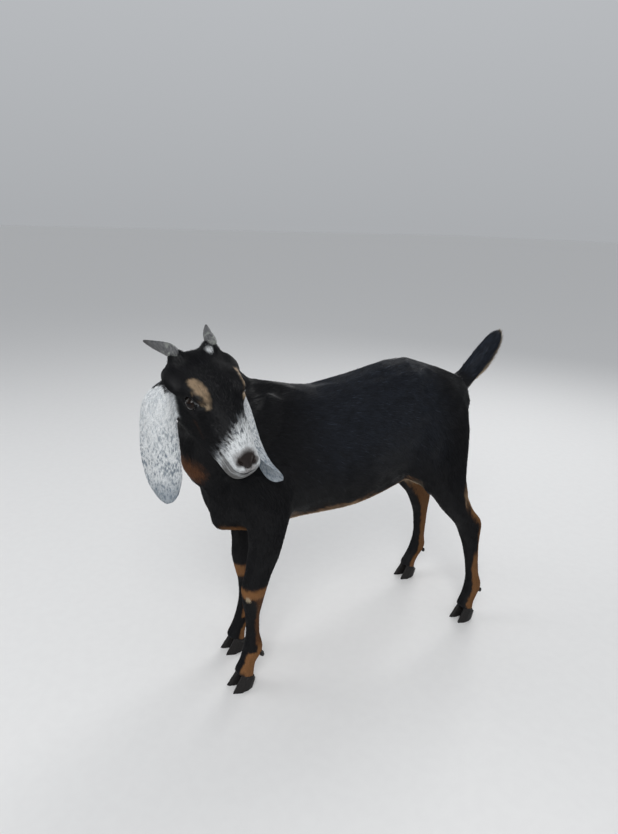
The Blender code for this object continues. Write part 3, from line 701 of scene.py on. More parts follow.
def leg_colours(colour, points, normals, share, node, ragged):
    """Black down the front and outer side of each leg, tan behind and inside, paler up the thigh."""
    nx, ny, _ = normals.T
    y, z = points[:, 1], points[:, 2]
    names = np.array(FLESH)[node]
    on_left = points[:, 0] > SPINE
    side = np.sign(points[:, 0] - SPINE)
    side[np.char.find(names, "_left") >= 0] = 1
    side[np.char.find(names, "_right") >= 0] = -1
    outer = nx * side
    leg = share["upper"] + share["cannon"] + share["foot"]
    front = -ny
    rough = 0.5 * (ragged - 0.5)
    is_fore = np.char.startswith(names, "fore")
    is_hind = np.char.startswith(names, "hind")

    colour = fore_colours(colour, points, leg, is_fore, front, outer, nx, rough)

    black = step(front + 0.35 * outer + rough, -0.20, 0.12)
    low = step(0.205 - z, 0.0, 0.03) * on_left * step(outer, -0.3, 0.1)
    line = 0.10 + 0.40 * step(0.190 - z, 0.0, 0.06)      # how far round to the front the tan reaches
    black = black * (1 - low) + low * step(front + rough - line, -0.10, 0.14)
    inner = step(-outer, 0.0, 0.5)
    reach = step(0.405 + 0.040 * inner - z + 0.05 * rough, 0.0, 0.035)
    thigh = share["trunk"] * (y > 0.16) * (outer_side(points) < -0.03)
    tan = (1 - black) * reach * np.maximum(leg, thigh)
    pale = (0.20 + 0.65 * inner) * step(z + 0.03 * rough, 0.315, 0.350)
    colour = blend(colour, blend(TAN * 0.8, CREAM, pale), tan * (is_hind | (z > 0.36)) * (y > 0.13))

    toe = share["foot"] * step(0.050 - z, 0.0, 0.012)
    return blend(colour, BLACK * 1.6, toe * step(front, 0.1, 0.5))


def outer_side(points):
    """How far a point of the hindquarters lies outside the line of the near or far hind leg."""
    near, far = middle_x("hind_left_gaskin"), middle_x("hind_right_gaskin")
    return np.abs(points[:, 0] - (near + far) / 2) - (near - far) / 2


# A pale spot at the lower edge of the left knee's band: middle, half sizes, softness.
KNEE_SPOT = ((0.039, -0.284, 0.229), (0.0050, 0.0060, 0.0060), 0.4)
# The patch over each eye: its middle line from above the eye to before it, and half its breadth.
BROWS = (
    (((-0.0405, -0.0120, 0.0210), (-0.0373, 0.0030, 0.0150),
      (-0.0333, 0.0200, 0.0080), (-0.0320, 0.0290, 0.0020)), 0.0130),
    (((0.0590, -0.0110, 0.0140), (0.0545, 0.0065, 0.0105),
      (0.0485, 0.0215, 0.0045), (0.0455, 0.0320, -0.0020)), 0.0135),
)
CHEEK = ((0.046, 0.030, -0.034), (0.043, 0.044, -0.046), (0.040, 0.056, -0.056))
# Marks as balls in the head's frame, like those of the body.
HORN_TUFT = ((0.0255, -0.0609, 0.0230), (0.0062, 0.0058, 0.0075), 0.25, 0.3)
# the upper lip's grey-brown mark is painted shadow under the nose pad
UPPER_LIP_SHADOW = ((0.0, 0.1450, -0.0470), (0.0150, 0.0120, 0.0085), 0.4, 0.5)
NOSE_SLOPE = 0.24         # radians from the skull's axis down to the line of the nose
CHIN = np.array((0.200, 0.198, 0.195))


def mouth_level(ahead):
    """How high the line between the lips lies at a distance ahead."""
    return -0.0464 - 0.0078 * step(ahead, 0.095, 0.150)


def brow_colours(colour, places, head, ragged, fine):
    """A patch over and before each eye, broad, and paler at its lower end."""
    tone = blend(BROW, BROW * 0.50, 0.5 * step(fine, 0.45, 0.85))
    for line, broad in BROWS:
        gap, where = near_line(places, line)
        width = broad * (1 - 0.34 * np.abs(2 * where - 0.8))
        patch = 1 - step(gap + 0.006 * (ragged - 0.5), width - 0.0035, width + 0.0030)
        colour = blend(colour, tone, patch * head)
        colour = blend(colour, CREAM, patch * head * step(where, 0.80, 0.97) * 0.35)
    return colour


def muzzle_colours(colour, places, head, ragged, fine):
    """White hair that dark streaks run into, the chin, dark lips with a pale ring and painted shade along
    the slit between them, a painted shadow on the upper lip under the nose pad, and the nose pad.
    """
    left, ahead, up = places.T
    x, y, z = mirrored(places).T
    cos, sin = math.cos(NOSE_SLOPE), math.sin(NOSE_SLOPE)
    down_nose = np.stack([x, y * cos - z * sin, y * sin + z * cos], 1)
    streak = lattice_noise(down_nose, (0.0020, 0.0090, 0.0020), 21)
    edge = 0.076 - 0.5 * np.clip(left, -0.03, 0.03)
    frost = step(ahead + 0.034 * (streak - 0.5) + 0.006 * (fine - 0.5), edge - 0.006, edge + 0.016)
    specks = step(streak, 0.50, 0.72) * step(0.132 - ahead, -0.006, 0.045) * 0.85
    colour = blend(colour, blend(WHITE, SPECK, specks), frost * head)

    nose = mirrored(nose_places(places))
    lip = mouth_gap(nose)[0]
    below = step(mouth_level(ahead) - up, 0.0, 0.004)
    chin = step(ahead + 0.020 * (ragged - 0.5), 0.104, 0.118) * below
    colour = blend(colour, CHIN, chin * head)
    ring = bell(lip - 0.0060, 0.0018) * step(ahead, 0.085, 0.10)
    colour = blend(colour, WHITE * 0.80, ring * head * 0.8)
    # the lips' dark skin along the mouth line, with painted shade in the slit between them
    colour = blend(colour, PAD * 0.4, bell(lip, 0.0034) * head * step(ahead, 0.086, 0.094))

    # painted shadow: the white upper lip under the nose pad is darkened to grey-brown
    colour = blend(colour, PAD * 5.0, ball_mask(nose, *UPPER_LIP_SHADOW, ragged) * head * 0.6)
    over_pad = np.array(PAD_CENTRE) + (0, -0.003, 0.003)
    soft = ball_mask(nose, over_pad, np.array(PAD_HALF) * 1.12, 0.30, 0.4, ragged)
    colour = blend(colour, PAD * 3.0, soft * head * 0.75)
    return blend(colour, PAD, ball_mask(nose, PAD_CENTRE, PAD_HALF, 0.16, 0.25, ragged) * head)


def lid_colours(colour, places, fine):
    """Dark lids, a ring of pale flecks outside them, and a pale edge to the lower lid."""
    for side in (1, -1):
        radius, depth, rise, outside = eye_places(places, side)
        close = (depth > 0.001) & (radius < 0.026)
        colour = blend(colour, BLACK, (1 - step(outside, 0.0050, 0.0085)) * close)
        ring = bell(outside - 0.0056, 0.0018) * close * step(0.004 - rise, -0.006, 0.004)
        colour = blend(colour, WHITE * 0.60, ring * step(fine, 0.25, 0.55))
        inner = bell(outside - 0.0033, 0.0008) * close * step(fine, 0.35, 0.75)
        colour = blend(colour, WHITE * 0.20, inner * 0.4)
        under = bell(outside - 0.0011, 0.0008) * close * step(-rise, 0.001, 0.004)
        colour = blend(colour, CREAM * 0.30, under * 0.6)
    return colour


def head_colours(colour, points, share, ragged, fine):
    """The face's marks, a faint line down each cheek, and a white tuft at the root of the left horn."""
    places = head_places(points)
    head = np.maximum(share["head"], 0)
    colour = brow_colours(colour, places, head, ragged, fine)
    colour = muzzle_colours(colour, places, head, ragged, fine)
    colour = lid_colours(colour, places, fine)
    cheek = near_line(mirrored(places), CHEEK)[0]
    colour = blend(colour, BROWN * 0.6, bell(cheek, 0.0022) * head * 0.6)
    return blend(colour, WHITE, ball_mask(places, *HORN_TUFT, ragged) * head)


def ear_colours(colour, points, share):
    """White ears with fine blue-grey specks that run down them, bluer low down and black at the root."""
    streak = lattice_noise(points, (0.0016, 0.0016, 0.0028), 31)
    patchy = lattice_noise(points, (0.016, 0.016, 0.022), 32) - 0.5
    ragged = lattice_noise(points, (0.0040, 0.0040, 0.0120), 33) - 0.5
    for name in ("ear_left", "ear_right"):
        low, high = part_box(name)
        down = (high.z - points[:, 2]) / (high.z - low.z)
        specks = step(streak + 0.22 * patchy, 0.50, 0.72) * (0.35 + 0.50 * step(down, 0.15, 0.60))
        blue = step(down + 0.10 * patchy, 0.70, 0.92) if name == "ear_right" else step(down, 0.55, 0.80)
        tone = blend(blend(WHITE, BLUE_GREY, specks), BLUE_GREY * 1.15, 0.60 * blue)
        white = share[name] * step(down + 0.07 * patchy + 0.09 * ragged, 0.035, 0.065)
        colour = blend(colour, tone, np.clip(white * 1.6, 0, 1))
    return colour


# ---- attributes and materials ----
def put(mesh, name, kind, field, values):
    """Stores a value for each vertex under a name that the materials read."""
    layer = mesh.attributes.new(name, kind, "POINT")
    layer.data.foreach_set(field, values.astype(np.float32).ravel())


def put_colour(mesh, name, colours):
    put(mesh, name, "FLOAT_COLOR", "color", np.insert(colours, 3, 1.0, axis=1))


def put_number(mesh, name, values):
    put(mesh, name, "FLOAT", "value", values)


def put_vector(mesh, name, values):
    put(mesh, name, "FLOAT_VECTOR", "vector", values)


class Nodes:
    """A short way to write one material's node tree."""

    def __init__(self, name):
        self.material = bpy.data.materials.new(name)
        self.material.use_nodes = True
        self.tree = self.material.node_tree
        self.shader = self.tree.nodes["Principled BSDF"]

    def add(self, kind, **values):
        node = self.tree.nodes.new(kind)
        for key, value in values.items():
            if hasattr(node, key):
                setattr(node, key, value)
            else:
                node.inputs[key.replace("_", " ")].default_value = value
        return node

    def link(self, source, target):
        self.tree.links.new(source, target)

    def attribute(self, name, output="Color"):
        return self.add("ShaderNodeAttribute", attribute_name=name).outputs[output]

    def noise(self, scale, detail=2.0, vector=None):
        node = self.add("ShaderNodeTexNoise", Scale=scale, Detail=detail)
        self.link(vector or self.add("ShaderNodeTexCoord").outputs["Object"], node.inputs["Vector"])
        return node.outputs["Fac"]

    def ranged(self, value, low, high, from_low=0.0, from_high=1.0):
        node = self.add("ShaderNodeMapRange")
        for index, number in ((1, from_low), (2, from_high), (3, low), (4, high)):
            node.inputs[index].default_value = number
        self.link(value, node.inputs[0])
        return node.outputs[0]

    def mixed(self, share, first, second, kind="MIX"):
        node = self.add("ShaderNodeMix", data_type="RGBA", blend_type=kind)
        for source, socket in ((share, node.inputs[0]), (first, node.inputs[6]), (second, node.inputs[7])):
            if isinstance(source, (float, tuple)):
                socket.default_value = source
            else:
                self.link(source, socket)
        return node.outputs[2]

    def math(self, operation, value, other=None):
        """A Math node of a value and nothing, a number or another value."""
        node = self.add("ShaderNodeMath", operation=operation)
        self.link(value, node.inputs[0])
        if isinstance(other, float):
            node.inputs[1].default_value = other
        elif other:
            self.link(other, node.inputs[1])
        return node.outputs[0]

    def hair(self, grain, low, high):
        """The colour kept on the mesh, darker and lighter with a grain from strand to strand."""
        tone = self.add("ShaderNodeCombineColor")
        shade = self.ranged(grain, low, high, 0.3, 0.7)
        for socket in tone.inputs[:3]:
            self.link(shade, socket)
        self.base(self.mixed(1.0, self.attribute("tint"), tone.outputs[0], "MULTIPLY"))

    def bump(self, height, strength, distance):
        node = self.add("ShaderNodeBump", Strength=strength, Distance=distance)
        self.link(height, node.inputs["Height"])
        self.link(node.outputs["Normal"], self.shader.inputs["Normal"])

    def base(self, colour):
        self.link(colour, self.shader.inputs["Base Color"])

    def set(self, **values):
        for key, value in values.items():
            self.shader.inputs[key.replace("_", " ")].default_value = value


def skin_material():
    """Short hair on the skin; bare, moist skin on the nose and lids."""
    kit = Nodes("goat_skin")
    grain = kit.noise(900.0)
    kit.hair(grain, 0.75, 1.2)
    kit.link(kit.ranged(kit.attribute("bare", "Fac"), 0.55, 0.30), kit.shader.inputs["Roughness"])
    kit.set(Specular_IOR_Level=0.22)
    kit.bump(grain, 0.35, 0.0006)
    return kit.material


def coat_material(name, roughness, specular):
    """Hair: its colour is each tuft's own."""
    kit = Nodes(name)
    kit.hair(kit.noise(700.0), 0.82, 1.18)
    kit.set(Roughness=roughness, Specular_IOR_Level=specular)
    return kit.material


# ---- the coat ----
TRUNK_SPLITS = (-0.10, 0.10)
COAT_MATERIALS = {                # by kind of hair, with roughness and specular level
    "black": coat_material("coat_black", 0.40, 0.18),
    "face": coat_material("coat_face", 0.46, 0.18),
    "pale": coat_material("coat_pale", 0.60, 0.25),
}


def dominant(weights):
    return np.array(REGIONS)[np.argmax(weights, axis=1)]


def coat_pieces(points, weights, node):
    """Each coat piece's name, the vertices it grows on, and its kind of hair."""
    region = dominant(weights)
    left = points[:, 0] > SPINE
    head_left = head_places(points)[:, 0] > 0
    names = np.array(FLESH)[node]
    trunk = region == "trunk"
    thirds = np.searchsorted(np.array(TRUNK_SPLITS), points[:, 1])
    for side, chosen in (("left", left), ("right", ~left)):
        for part, word in enumerate(("shoulder", "barrel", "rump")):
            yield f"coat_{word}_{side}", trunk & chosen & (thirds == part), "black"
    yield "coat_neck", region == "neck", "black"
    yield "coat_head_left", (region == "head") & head_left, "face"
    yield "coat_head_right", (region == "head") & ~head_left, "face"
    yield "coat_ear_left", region == "ear_left", "pale"
    yield "coat_ear_right", region == "ear_right", "pale"
    yield "coat_tail", region == "tail", "black"
    for pair in ("fore", "hind"):
        legs = np.isin(region, ("upper", "cannon", "foot")) & np.char.startswith(names, pair)
        yield f"coat_legs_{pair}", legs, "black"


def unwrapped(points, triangles):
    """An unwrap of this part of the skin: two numbers for each corner of each triangle."""
    thing = new_object("unwrap", mesh_from("unwrap", points, triangles))
    thing.data.uv_layers.new(name="OFBake")
    bpy.context.view_layer.objects.active = thing
    thing.select_set(True)
    bpy.ops.object.mode_set(mode="EDIT")
    bpy.ops.mesh.select_all(action="SELECT")
    bpy.ops.uv.smart_project(angle_limit=1.15, island_margin=0.006, scale_to_bounds=True)
    bpy.ops.object.mode_set(mode="OBJECT")
    flat = read(thing.data.uv_layers["OFBake"].uv, "vector", 2)
    bpy.data.objects.remove(thing, do_unlink=True)
    return np.clip(flat.reshape(-1, 3, 2), 0.002, 0.998)


PATCH = 0.0015            # half the width of a tuft's patch on the map
PATCH_CORNERS = ((-PATCH, -PATCH), (PATCH, -PATCH), (0.0, -PATCH * 0.2), (0.0, PATCH))
TUFT_FACES = ((0, 2, 1), (0, 1, 3), (1, 2, 3), (2, 0, 3))
STRAY_SHARE = 0.03        # of the tufts, that stand out a little
GLINT_FLECK_SHARE = 0.012       # of the dark tufts, that are paler: painted glints of sheen


def root_shares(count):
    """Even but irregular places within triangles, as shares of the three corners."""
    k = np.arange(count)
    u, v = (k * 0.7548776662) % 1, (k * 0.5698402910) % 1
    flip = u + v > 1
    u, v = np.where(flip, 1 - u, u), np.where(flip, 1 - v, v)
    return np.stack([1 - u - v, u, v], 1)


def four(*parts):
    """Rows for each tuft's points in turn: two at its root, its ridge and its tip."""
    return np.stack(parts, 1).reshape(-1, 3)


def rooted(triangles, skin, rng):
    """The triangle under each tuft: as many to the area as the coat's spacing asks, none on bare skin."""
    corners = skin["points"][triangles]
    area = np.linalg.norm(np.cross(corners[:, 1] - corners[:, 0], corners[:, 2] - corners[:, 0]), axis=1) / 2
    hairy = skin["bare"][triangles].mean(1) < 0.5
    wanted = np.cumsum(area / skin["spacing"][triangles].mean(1)**2 * hairy)
    count = int(wanted[-1])
    pick = np.searchsorted(wanted, (np.arange(count) + rng.random(count)) / count * wanted[-1])
    return np.minimum(pick, len(triangles) - 1)


def tuft_colours(colour, rng):
    """Each tuft a little unlike its neighbours, with painted shade at its root and lighter towards its tip;
    a few black ones are paler flecks, painted glints of sheen.
    """
    count = len(colour)
    dark = colour.max(1) < 0.05
    spread = np.where(dark, rng.uniform(0.50, 1.60, count), rng.uniform(0.82, 1.12, count))
    # painted glints: a few black tufts are made paler
    glint_fleck = dark & (rng.random(count) < GLINT_FLECK_SHARE)
    colour = colour * np.where(glint_fleck, 4.0, spread)[:, None]
    # painted shade: each tuft is darker at its root, where the hair over it shades it, and lighter towards
    # its tip
    at_root = colour * np.where(dark, 0.70, 0.86)[:, None]
    return np.clip(four(at_root, at_root, colour * 0.97, colour * 1.05), 0, 0.9)


def grow(name, triangles, kind, skin, tree, rng):
    """One coat piece: closed three-sided tufts that lie along the skin."""
    used, compact = np.unique(triangles, return_inverse=True)
    maps = unwrapped(skin["points"][used], compact.reshape(-1, 3))
    pick = rooted(triangles, skin, rng)
    count = len(pick)
    shares = root_shares(count)[:, :, None]

    def at_roots(key):
        values = skin[key].reshape(len(skin["points"]), -1)
        return (values[triangles[pick]] * shares).sum(1)

    root = at_roots("points")
    out = unit(at_roots("normals"))
    lie = along_skin(at_roots("lie"), out)
    side = np.cross(out, lie)
    length = at_roots("length") * rng.uniform(0.70, 1.25, count)[:, None]
    width = at_roots("width") * rng.uniform(0.75, 1.25, count)[:, None]
    depth = at_roots("depth")[:, 0]
    lift = depth * (0.35 + 0.35 * rng.random(count) + 0.40 * lattice_noise(root, 0.007, 41))
    stray = rng.random(count) < STRAY_SHARE
    lift = np.where(stray, depth * 1.25, lift)
    turn = rng.normal(0, 0.13, count) + 0.5 * (lattice_noise(root, 0.011, 42) - 0.5)
    way = unit(lie * np.cos(turn)[:, None] + side * np.sin(turn)[:, None])
    found = [tree.find_nearest(p) for p in (root + way * length).tolist()]
    tip_out = np.array([hit[1] for hit in found])
    tip_out = np.where(np.sum(tip_out * out, 1, keepdims=True) > 0.2, tip_out, out)
    tip = np.array([hit[0] for hit in found]) + tip_out * lift[:, None]
    across = unit(np.cross(out, tip - root)) * (width / 2)
    ridge = root + out * (width * 0.40) + (tip - root) * 0.22
    points = four(root - across - out * 0.0003, root + across - out * 0.0003, ridge, tip)
    first = np.arange(count)[:, None] * 4
    faces = four(*(first + face for face in TUFT_FACES))
    mesh = mesh_from(name, points, faces)

    colour = hair_colours(root, out, at_roots("weights"), skin["node"][triangles[pick][:, 0]])
    put_colour(mesh, "tint", tuft_colours(colour, rng))

    lean = rng.normal(0, 0.30, count)[:, None] * side
    at_root, at_tip = unit(out + lean), unit(tip_out + lean)
    mesh.normals_split_custom_set_from_vertices(four(at_root, at_root, at_root, at_tip).astype(np.float32))

    place = np.clip((maps[pick] * shares).sum(1), PATCH, 1 - PATCH)
    at_points = (place[:, None, :] + PATCH_CORNERS).reshape(-1, 2)
    layer = mesh.uv_layers.new(name="OFBake")
    layer.uv.foreach_set("vector", at_points[faces.ravel()].astype(np.float32).ravel())

    mesh.materials.append(COAT_MATERIALS[kind])
    piece = new_object(name, mesh)
    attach(piece, "root")


# ---- pieces that stay themselves ----
def refined(name, nodes, grain, rounds, hosts=(), deeper=0.0):
    """The nodes' shape on a fine smooth mesh; what faces a host node is carried a little way into it."""
    points, triangles, _ = joined(nodes, 0.0)
    mesh = welded(name, points, triangles, grain)
    mesh.shade_smooth()
    if hosts:
        host_points, host_triangles, _ = joined(hosts, 0.0)
        tree = BVHTree.FromPolygons(host_points.tolist(), host_triangles.tolist())
        place = read_points(mesh)
        found = [tree.find_nearest(p) for p in place.tolist()]
        gap = np.array([hit[3] for hit in found])
        inward = -np.array([hit[1] for hit in found])
        place = place + inward * (deeper * (1 - step(gap, 0.0006, 0.0022)))[:, None]
        write_points(mesh, place)
    spread = Spread(mesh)
    start = read_points(mesh)
    moved = spread.smooth(start, rounds)
    write_points(mesh, moved - spread.smooth(moved - start, rounds))
    return mesh


def horn_material():
    kit = Nodes("horn")
    streak = kit.add("ShaderNodeMapping")
    kit.link(kit.attribute("grown", "Vector"), streak.inputs["Vector"])
    streak.inputs["Scale"].default_value = (5.0, 5.0, 0.4)
    fine = kit.noise(2.0, 4.0, streak.outputs[0])
    patches = kit.noise(95.0, 3.0)
    streaks = kit.ranged(fine, 0.0, 1.0, 0.38, 0.62)
    colour = kit.mixed(streaks, (0.038, 0.039, 0.042, 1), (0.100, 0.101, 0.104, 1))
    # painted highlight: pale greenish patches on the horn near its root
    near_root = kit.ranged(kit.attribute("age", "Fac"), 1.0, 0.0, 0.10, 0.45)
    pale = kit.mixed(near_root, (0.0, 0.0, 0.0, 1.0), kit.ranged(patches, 0.0, 0.85, 0.50, 0.62))
    colour = kit.mixed(pale, colour, (0.260, 0.275, 0.250, 1))
    near_tip = kit.ranged(kit.attribute("age", "Fac"), 0.0, 0.80, 0.60, 1.0)
    kit.base(kit.mixed(near_tip, colour, (0.024, 0.022, 0.022, 1.0)))
    kit.link(kit.ranged(fine, 0.38, 0.60), kit.shader.inputs["Roughness"])
    kit.bump(fine, 0.2, 0.0006)
    return kit.material


HORN_RINGS = 9
HORN_ROOT = (0.0378, -0.0800, 0.0140)   # of the left horn, in the head's frame


def add_horns():
    material = horn_material()
    for side, word in ((1, "left"), (-1, "right")):
        mesh = refined(f"horn_{word}_grown", [f"horn_{word}"], 0.0015, 8, ["head"], 0.009)
        points = read_points(mesh)
        places = head_places(points)
        root = np.array(HORN_ROOT) * (side, 1, 1)
        tip = places[np.argmax(np.linalg.norm(places - root, axis=1))]
        age = np.clip((places - root) @ (tip - root) / ((tip - root) @ (tip - root)), 0, 1)
        rings = np.sin(age * 2 * math.pi * HORN_RINGS + 4.0 * lattice_noise(points, 0.012, 51))
        uneven = lattice_noise(points, 0.006, 52) - 0.5
        push = (0.00014 * rings + 0.0004 * uneven) * (1 - step(age, 0.60, 0.95))
        points += read_normals(mesh) * push[:, None]
        write_points(mesh, points)
        put_number(mesh, "age", age)
        round_horn = np.arctan2(places[:, 2] - root[2], places[:, 0] - root[0])
        grown = np.stack([np.cos(round_horn), np.sin(round_horn), age * 10], 1)
        put_vector(mesh, "grown", grown)
        mesh.materials.append(material)
        piece = new_object(mesh.name, mesh)
        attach(piece, "root")
        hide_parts(f"horn_{word}")


def hoof_material():
    kit = Nodes("hoof")
    height = kit.attribute("height", "Fac")
    bands = kit.add("ShaderNodeTexWave", wave_type="BANDS", bands_direction="Z", Scale=110.0, Distortion=1.5,
                    Detail=2.0, Detail_Scale=2.0)
    kit.link(kit.add("ShaderNodeTexCoord").outputs["Object"], bands.inputs["Vector"])
    fibre = kit.noise(420.0, 3.0)
    streaks = kit.ranged(fibre, 0.0, 1.0, 0.3, 0.7)
    colour = kit.mixed(streaks, (0.005, 0.0045, 0.0045, 1), (0.016, 0.014, 0.013, 1))
    colour = kit.mixed(kit.ranged(height, 0.85, 0.0, 0.0, 0.009), colour, (0.008, 0.007, 0.007, 1))
    kit.base(colour)
    kit.link(kit.ranged(fibre, 0.42, 0.68), kit.shader.inputs["Roughness"])
    kit.set(Specular_IOR_Level=0.25)
    kit.bump(bands.outputs["Fac"], 0.15, 0.0005)
    return kit.material


def add_hooves():
    material = hoof_material()
    for leg in ("fore_left", "fore_right", "hind_left", "hind_right"):
        nodes = [f"{leg}_{kind}_{word}" for kind in ("claw", "dewclaw") for word in ("left", "right")]
        mesh = refined(f"{leg}_hooves", nodes, 0.0013, 5, [f"{leg}_foot"], 0.0040)
        points = read_points(mesh)
        rings = np.sin(points[:, 2] * 2 * math.pi / 0.0042 + 2.0 * lattice_noise(points, 0.012, 61))
        side = 1 - np.abs(read_normals(mesh)[:, 2])
        points += read_normals(mesh) * (0.00009 * rings * side * step(points[:, 2], 0.002, 0.006))[:, None]
        points[:, 2] = np.where(points[:, 2] < 0.0007, 0.0, points[:, 2])
        write_points(mesh, points)
        put_number(mesh, "height", points[:, 2])
        mesh.materials.append(material)
        piece = new_object(mesh.name, mesh)
        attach(piece, "root")
        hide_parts(*nodes)


PUPIL_HALF = (0.0052, 0.0021)          # half its length and half its height


def eye_material():
    """A dark brown iris with a long level pupil, clear and wet."""
    kit = Nodes("eye")
    gaze = kit.add("ShaderNodeSeparateXYZ")
    kit.link(kit.attribute("gaze", "Vector"), gaze.inputs[0])
    along, rise, away = gaze.outputs

    def powered(value, half):
        return kit.math("POWER", kit.math("ABSOLUTE", kit.math("MULTIPLY", value, 1 / half)), 3.0)

    reach = kit.math("ADD", powered(along, PUPIL_HALF[0]), powered(rise, PUPIL_HALF[1]))
    pupil = kit.ranged(reach, 1.0, 0.0, 0.85, 1.25)
    fibre = kit.noise(900.0, 3.0)
    streaks = kit.ranged(fibre, 0.0, 1.0, 0.3, 0.7)
    iris = kit.mixed(streaks, (0.003, 0.0015, 0.0012, 1), (0.013, 0.006, 0.0035, 1))
    ball = kit.mixed(kit.ranged(away, 0.0, 1.0, 0.0082, 0.0092), iris, (0.008, 0.006, 0.005, 1))
    kit.base(kit.mixed(pupil, ball, (0.002, 0.002, 0.003, 1.0)))
    kit.set(Roughness=0.05, Specular_IOR_Level=0.15)
    return kit.material


def add_eyes():
    material = eye_material()
    out, front, up = eye_axes()
    for side, word in ((1, "left"), (-1, "right")):
        mesh = bpy.data.meshes.new(f"eyeball_{word}")
        with edited(mesh) as bm:
            bmesh.ops.create_uvsphere(bm, u_segments=56, v_segments=40, radius=EYE_RADIUS - 0.0002)
        ball = read_points(mesh)                      # its pole is +Z: the way the eye looks
        angle = np.arctan2(np.hypot(ball[:, 0], ball[:, 1]), ball[:, 2])
        swell = 1 + 0.060 * (1 - step(angle, 0.30, 0.72))
        ball = ball * swell[:, None]
        gaze = np.stack([ball[:, 0], ball[:, 1], EYE_RADIUS * angle], 1)
        local = ball[:, [0]] * front + ball[:, [1]] * up + ball[:, [2]] * out
        places = (local + np.array(EYE_PLACE)) * (side, 1, 1)
        write_points(mesh, from_head_places(places))
        with edited(mesh) as bm:
            bmesh.ops.recalc_face_normals(bm, faces=bm.faces)
        mesh.shade_smooth()
        put_vector(mesh, "gaze", gaze)
        mesh.materials.append(material)
        piece = new_object(mesh.name, mesh)
        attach(piece, "root")
        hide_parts(f"eye_{word}")


# ---- the goat ----
def bare_skin(points, weights):
    """1 where there is no hair: the nose pad, the nostrils, the line of the lips and the lids' rims."""
    places = head_places(points)
    both = mirrored(nose_places(places))
    bare = ball_mask(both, PAD_CENTRE, np.array(PAD_HALF) * 0.88, 0.15)
    bare = np.maximum(bare, 1 - step(near_line(both, NOSTRIL)[0], 0.0022, 0.0034))
    bare = np.maximum(bare, 1 - step(mouth_gap(both)[0], 0.0016, 0.0027))
    bare *= share_of(weights, "head") > 0.3
    for side in (1, -1):
        radius, depth, _, outside = eye_places(places, side)
        bare = np.maximum(bare, (depth > 0) & (radius < 0.022) & (outside < 0.0030))
    return bare


def crown_share(places):
    """1 on the crown between and just before the horns, where the hair is longer and climbs them."""
    both = mirrored(places)
    seats = ball_mask(both, (0.034, -0.066, 0.018), (0.024, 0.024, 0.020), 0.3)
    between = ball_mask(both, (0.0, -0.074, 0.020), (0.030, 0.034, 0.018), 0.3)
    return np.maximum(seats, between)


def skin_measures(mesh, spread, weights, node):
    """All that the coat has to know at each vertex of the skin."""
    points, normals = read_points(mesh), read_normals(mesh)
    places = head_places(points)
    muzzle = step(places[:, 1], 0.05, 0.13) * share_of(weights, "head")
    delicate = np.maximum(muzzle, near_eyes(points))
    crown = crown_share(places)
    fringe = fringe_share(normals, weights)
    depth, length, width, spacing = (by_region(weights, part) * (1 - less * delicate)
                                     for part, less in enumerate((0.30, 0.38, 0.20, 0.18)))
    return {
        "points": points,
        "normals": normals,
        "triangles": read_triangles(mesh),
        "weights": weights,
        "node": node,
        "bare": bare_skin(points, weights),
        "lie": lie_of_coat(points, normals, weights, spread),
        "depth": depth * (1 + 2.0 * crown) * (1 + 1.4 * fringe),
        "length": length * (1 + 1.3 * crown) * (1 + 1.2 * fringe),
        "width": width,
        "spacing": spacing,
    }


def colour_skin(mesh, skin):
    """The coat's own markings, a little darker, under it."""
    colours = hair_colours(skin["points"], skin["normals"], skin["weights"], skin["node"])
    put_colour(mesh, "tint", colours * 0.8)
    put_number(mesh, "bare", skin["bare"])
    mesh.materials.clear()
    mesh.materials.append(skin_material())


def add_coat(skin):
    """Each coat piece, grown from the triangles that have most of their corners in it."""
    tree = BVHTree.FromPolygons(skin["points"].tolist(), skin["triangles"].tolist())
    rng = np.random.default_rng(7)
    pieces = list(coat_pieces(skin["points"], skin["weights"], skin["node"]))
    owner = np.zeros(len(skin["points"]), int)
    for index, (_, chosen, _) in enumerate(pieces):
        owner[chosen] = index
    one, two, three = owner[skin["triangles"]].T
    owner = np.where(two == three, two, one)
    for index, (name, _, kind) in enumerate(pieces):
        grow(name, skin["triangles"][owner == index], kind, skin, tree, rng)


skin_piece, *measured = add_skin()
skin_data = skin_measures(skin_piece.data, *measured)
colour_skin(skin_piece.data, skin_data)
add_coat(skin_data)
add_horns()
add_hooves()
add_eyes()

# ---- stage ----
CAMERA_PLACE = (1.0755, -0.801, 1.0)
CAMERA_LOOK = (-0.8449, 0.5349)
CAMERA_PITCH = 17.3
CAMERA_ROLL = 1.83
FILM = 36.0               # mm, the picture's longer side
LENS = 26.935             # mm
FLOOR_REACH = 60.0
SKY = (0.93, 0.96, 1.0)
HORIZON = 0.84            # as bright as the far floor, as a share of the sky overhead


def add_camera():
    camera = bpy.data.objects.new("camera", bpy.data.cameras.new("camera"))
    bpy.context.scene.collection.objects.link(camera)
    pitch, roll = math.radians(CAMERA_PITCH), math.radians(CAMERA_ROLL)
    level = Vector((*CAMERA_LOOK, 0.0)).normalized()
    right = level.cross(Vector((0, 0, 1)))
    look = level * math.cos(pitch) - Vector((0, 0, 1)) * math.sin(pitch)
    up = right.cross(look)
    turned_right = right * math.cos(roll) + up * math.sin(roll)
    turned_up = up * math.cos(roll) - right * math.sin(roll)
    place = Matrix((turned_right, turned_up, -look)).transposed().to_4x4()
    place.translation = CAMERA_PLACE
    camera.matrix_world = place
    camera.data.sensor_width = FILM
    camera.data.lens = LENS
    bpy.context.scene.camera = camera


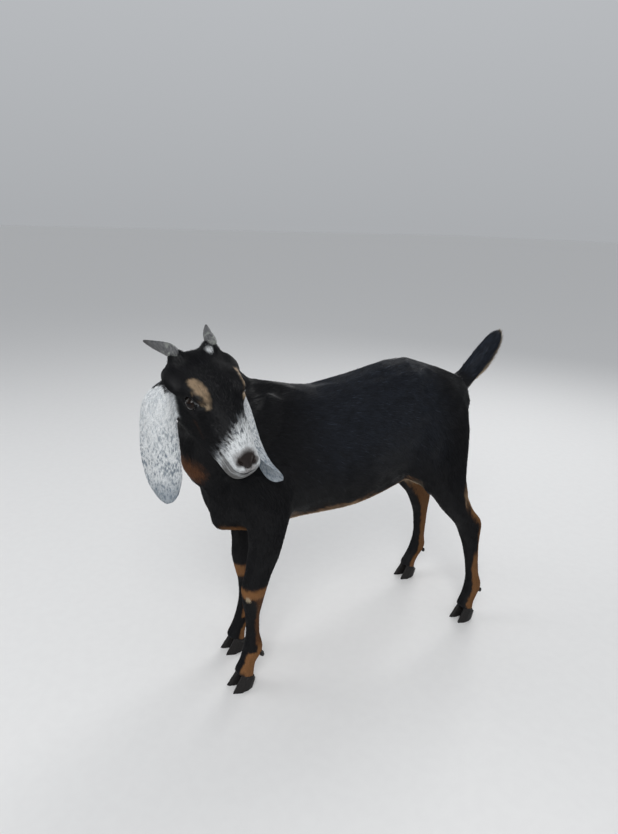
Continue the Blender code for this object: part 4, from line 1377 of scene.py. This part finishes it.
def add_stage():
    """A wide level floor, as pale as the sky over it."""
    reach = FLOOR_REACH
    corners = [(-reach, -reach, 0.0), (reach, -reach, 0.0), (reach, reach, 0.0), (-reach, reach, 0.0)]
    mesh = bpy.data.meshes.new("floor")
    mesh.from_pydata(corners, [], [(0, 1, 2, 3)])
    floor = new_object("floor", mesh)
    kit = Nodes("pale_floor")
    patches = kit.ranged(kit.noise(40.0), 0.0, 1.0, 0.35, 0.65)
    kit.base(kit.mixed(patches, (0.790, 0.785, 0.778, 1), (0.802, 0.798, 0.790, 1)))
    kit.set(Roughness=0.85)
    mesh.materials.append(kit.material)


def add_light(name, place, target, size, power, colour=(1, 1, 1)):
    data = bpy.data.lights.new(name, "AREA")
    data.shape = "DISK"
    data.size = size
    data.energy = power
    data.color = colour
    light = bpy.data.objects.new(name, data)
    bpy.context.scene.collection.objects.link(light)
    light.location = place
    light.rotation_euler = (Vector(target) - Vector(place)).to_track_quat("-Z", "Y").to_euler()


def add_lights():
    world = bpy.data.worlds.new("studio")
    world.use_nodes = True
    tree = world.node_tree
    background = tree.nodes["Background"]
    background.inputs["Strength"].default_value = 0.52
    coordinates = tree.nodes.new("ShaderNodeTexCoord")
    height = tree.nodes.new("ShaderNodeSeparateXYZ")
    share = tree.nodes.new("ShaderNodeMapRange")       # 0 at the horizon, 1 higher up
    share.inputs["From Max"].default_value = 0.30
    tone = tree.nodes.new("ShaderNodeMix")
    tone.data_type = "RGBA"
    tone.inputs[6].default_value = (*[part * HORIZON for part in SKY], 1.0)
    tone.inputs[7].default_value = (*SKY, 1.0)
    tree.links.new(coordinates.outputs["Generated"], height.inputs[0])
    tree.links.new(height.outputs["Z"], share.inputs["Value"])
    tree.links.new(share.outputs["Result"], tone.inputs[0])
    tree.links.new(tone.outputs[2], background.inputs["Color"])
    bpy.context.scene.world = world
    add_light("key", (2.2, -1.6, 2.6), (0, 0, 0.45), 1.6, 54)
    add_light("fill", (-1.8, -2.4, 1.8), (0, 0, 0.4), 2.0, 16)
    add_light("rim", (-1.2, 2.2, 2.4), (0, 0, 0.5), 1.4, 28)


add_camera()
add_stage()
add_lights()
bpy.context.scene.view_settings.view_transform = "Standard"
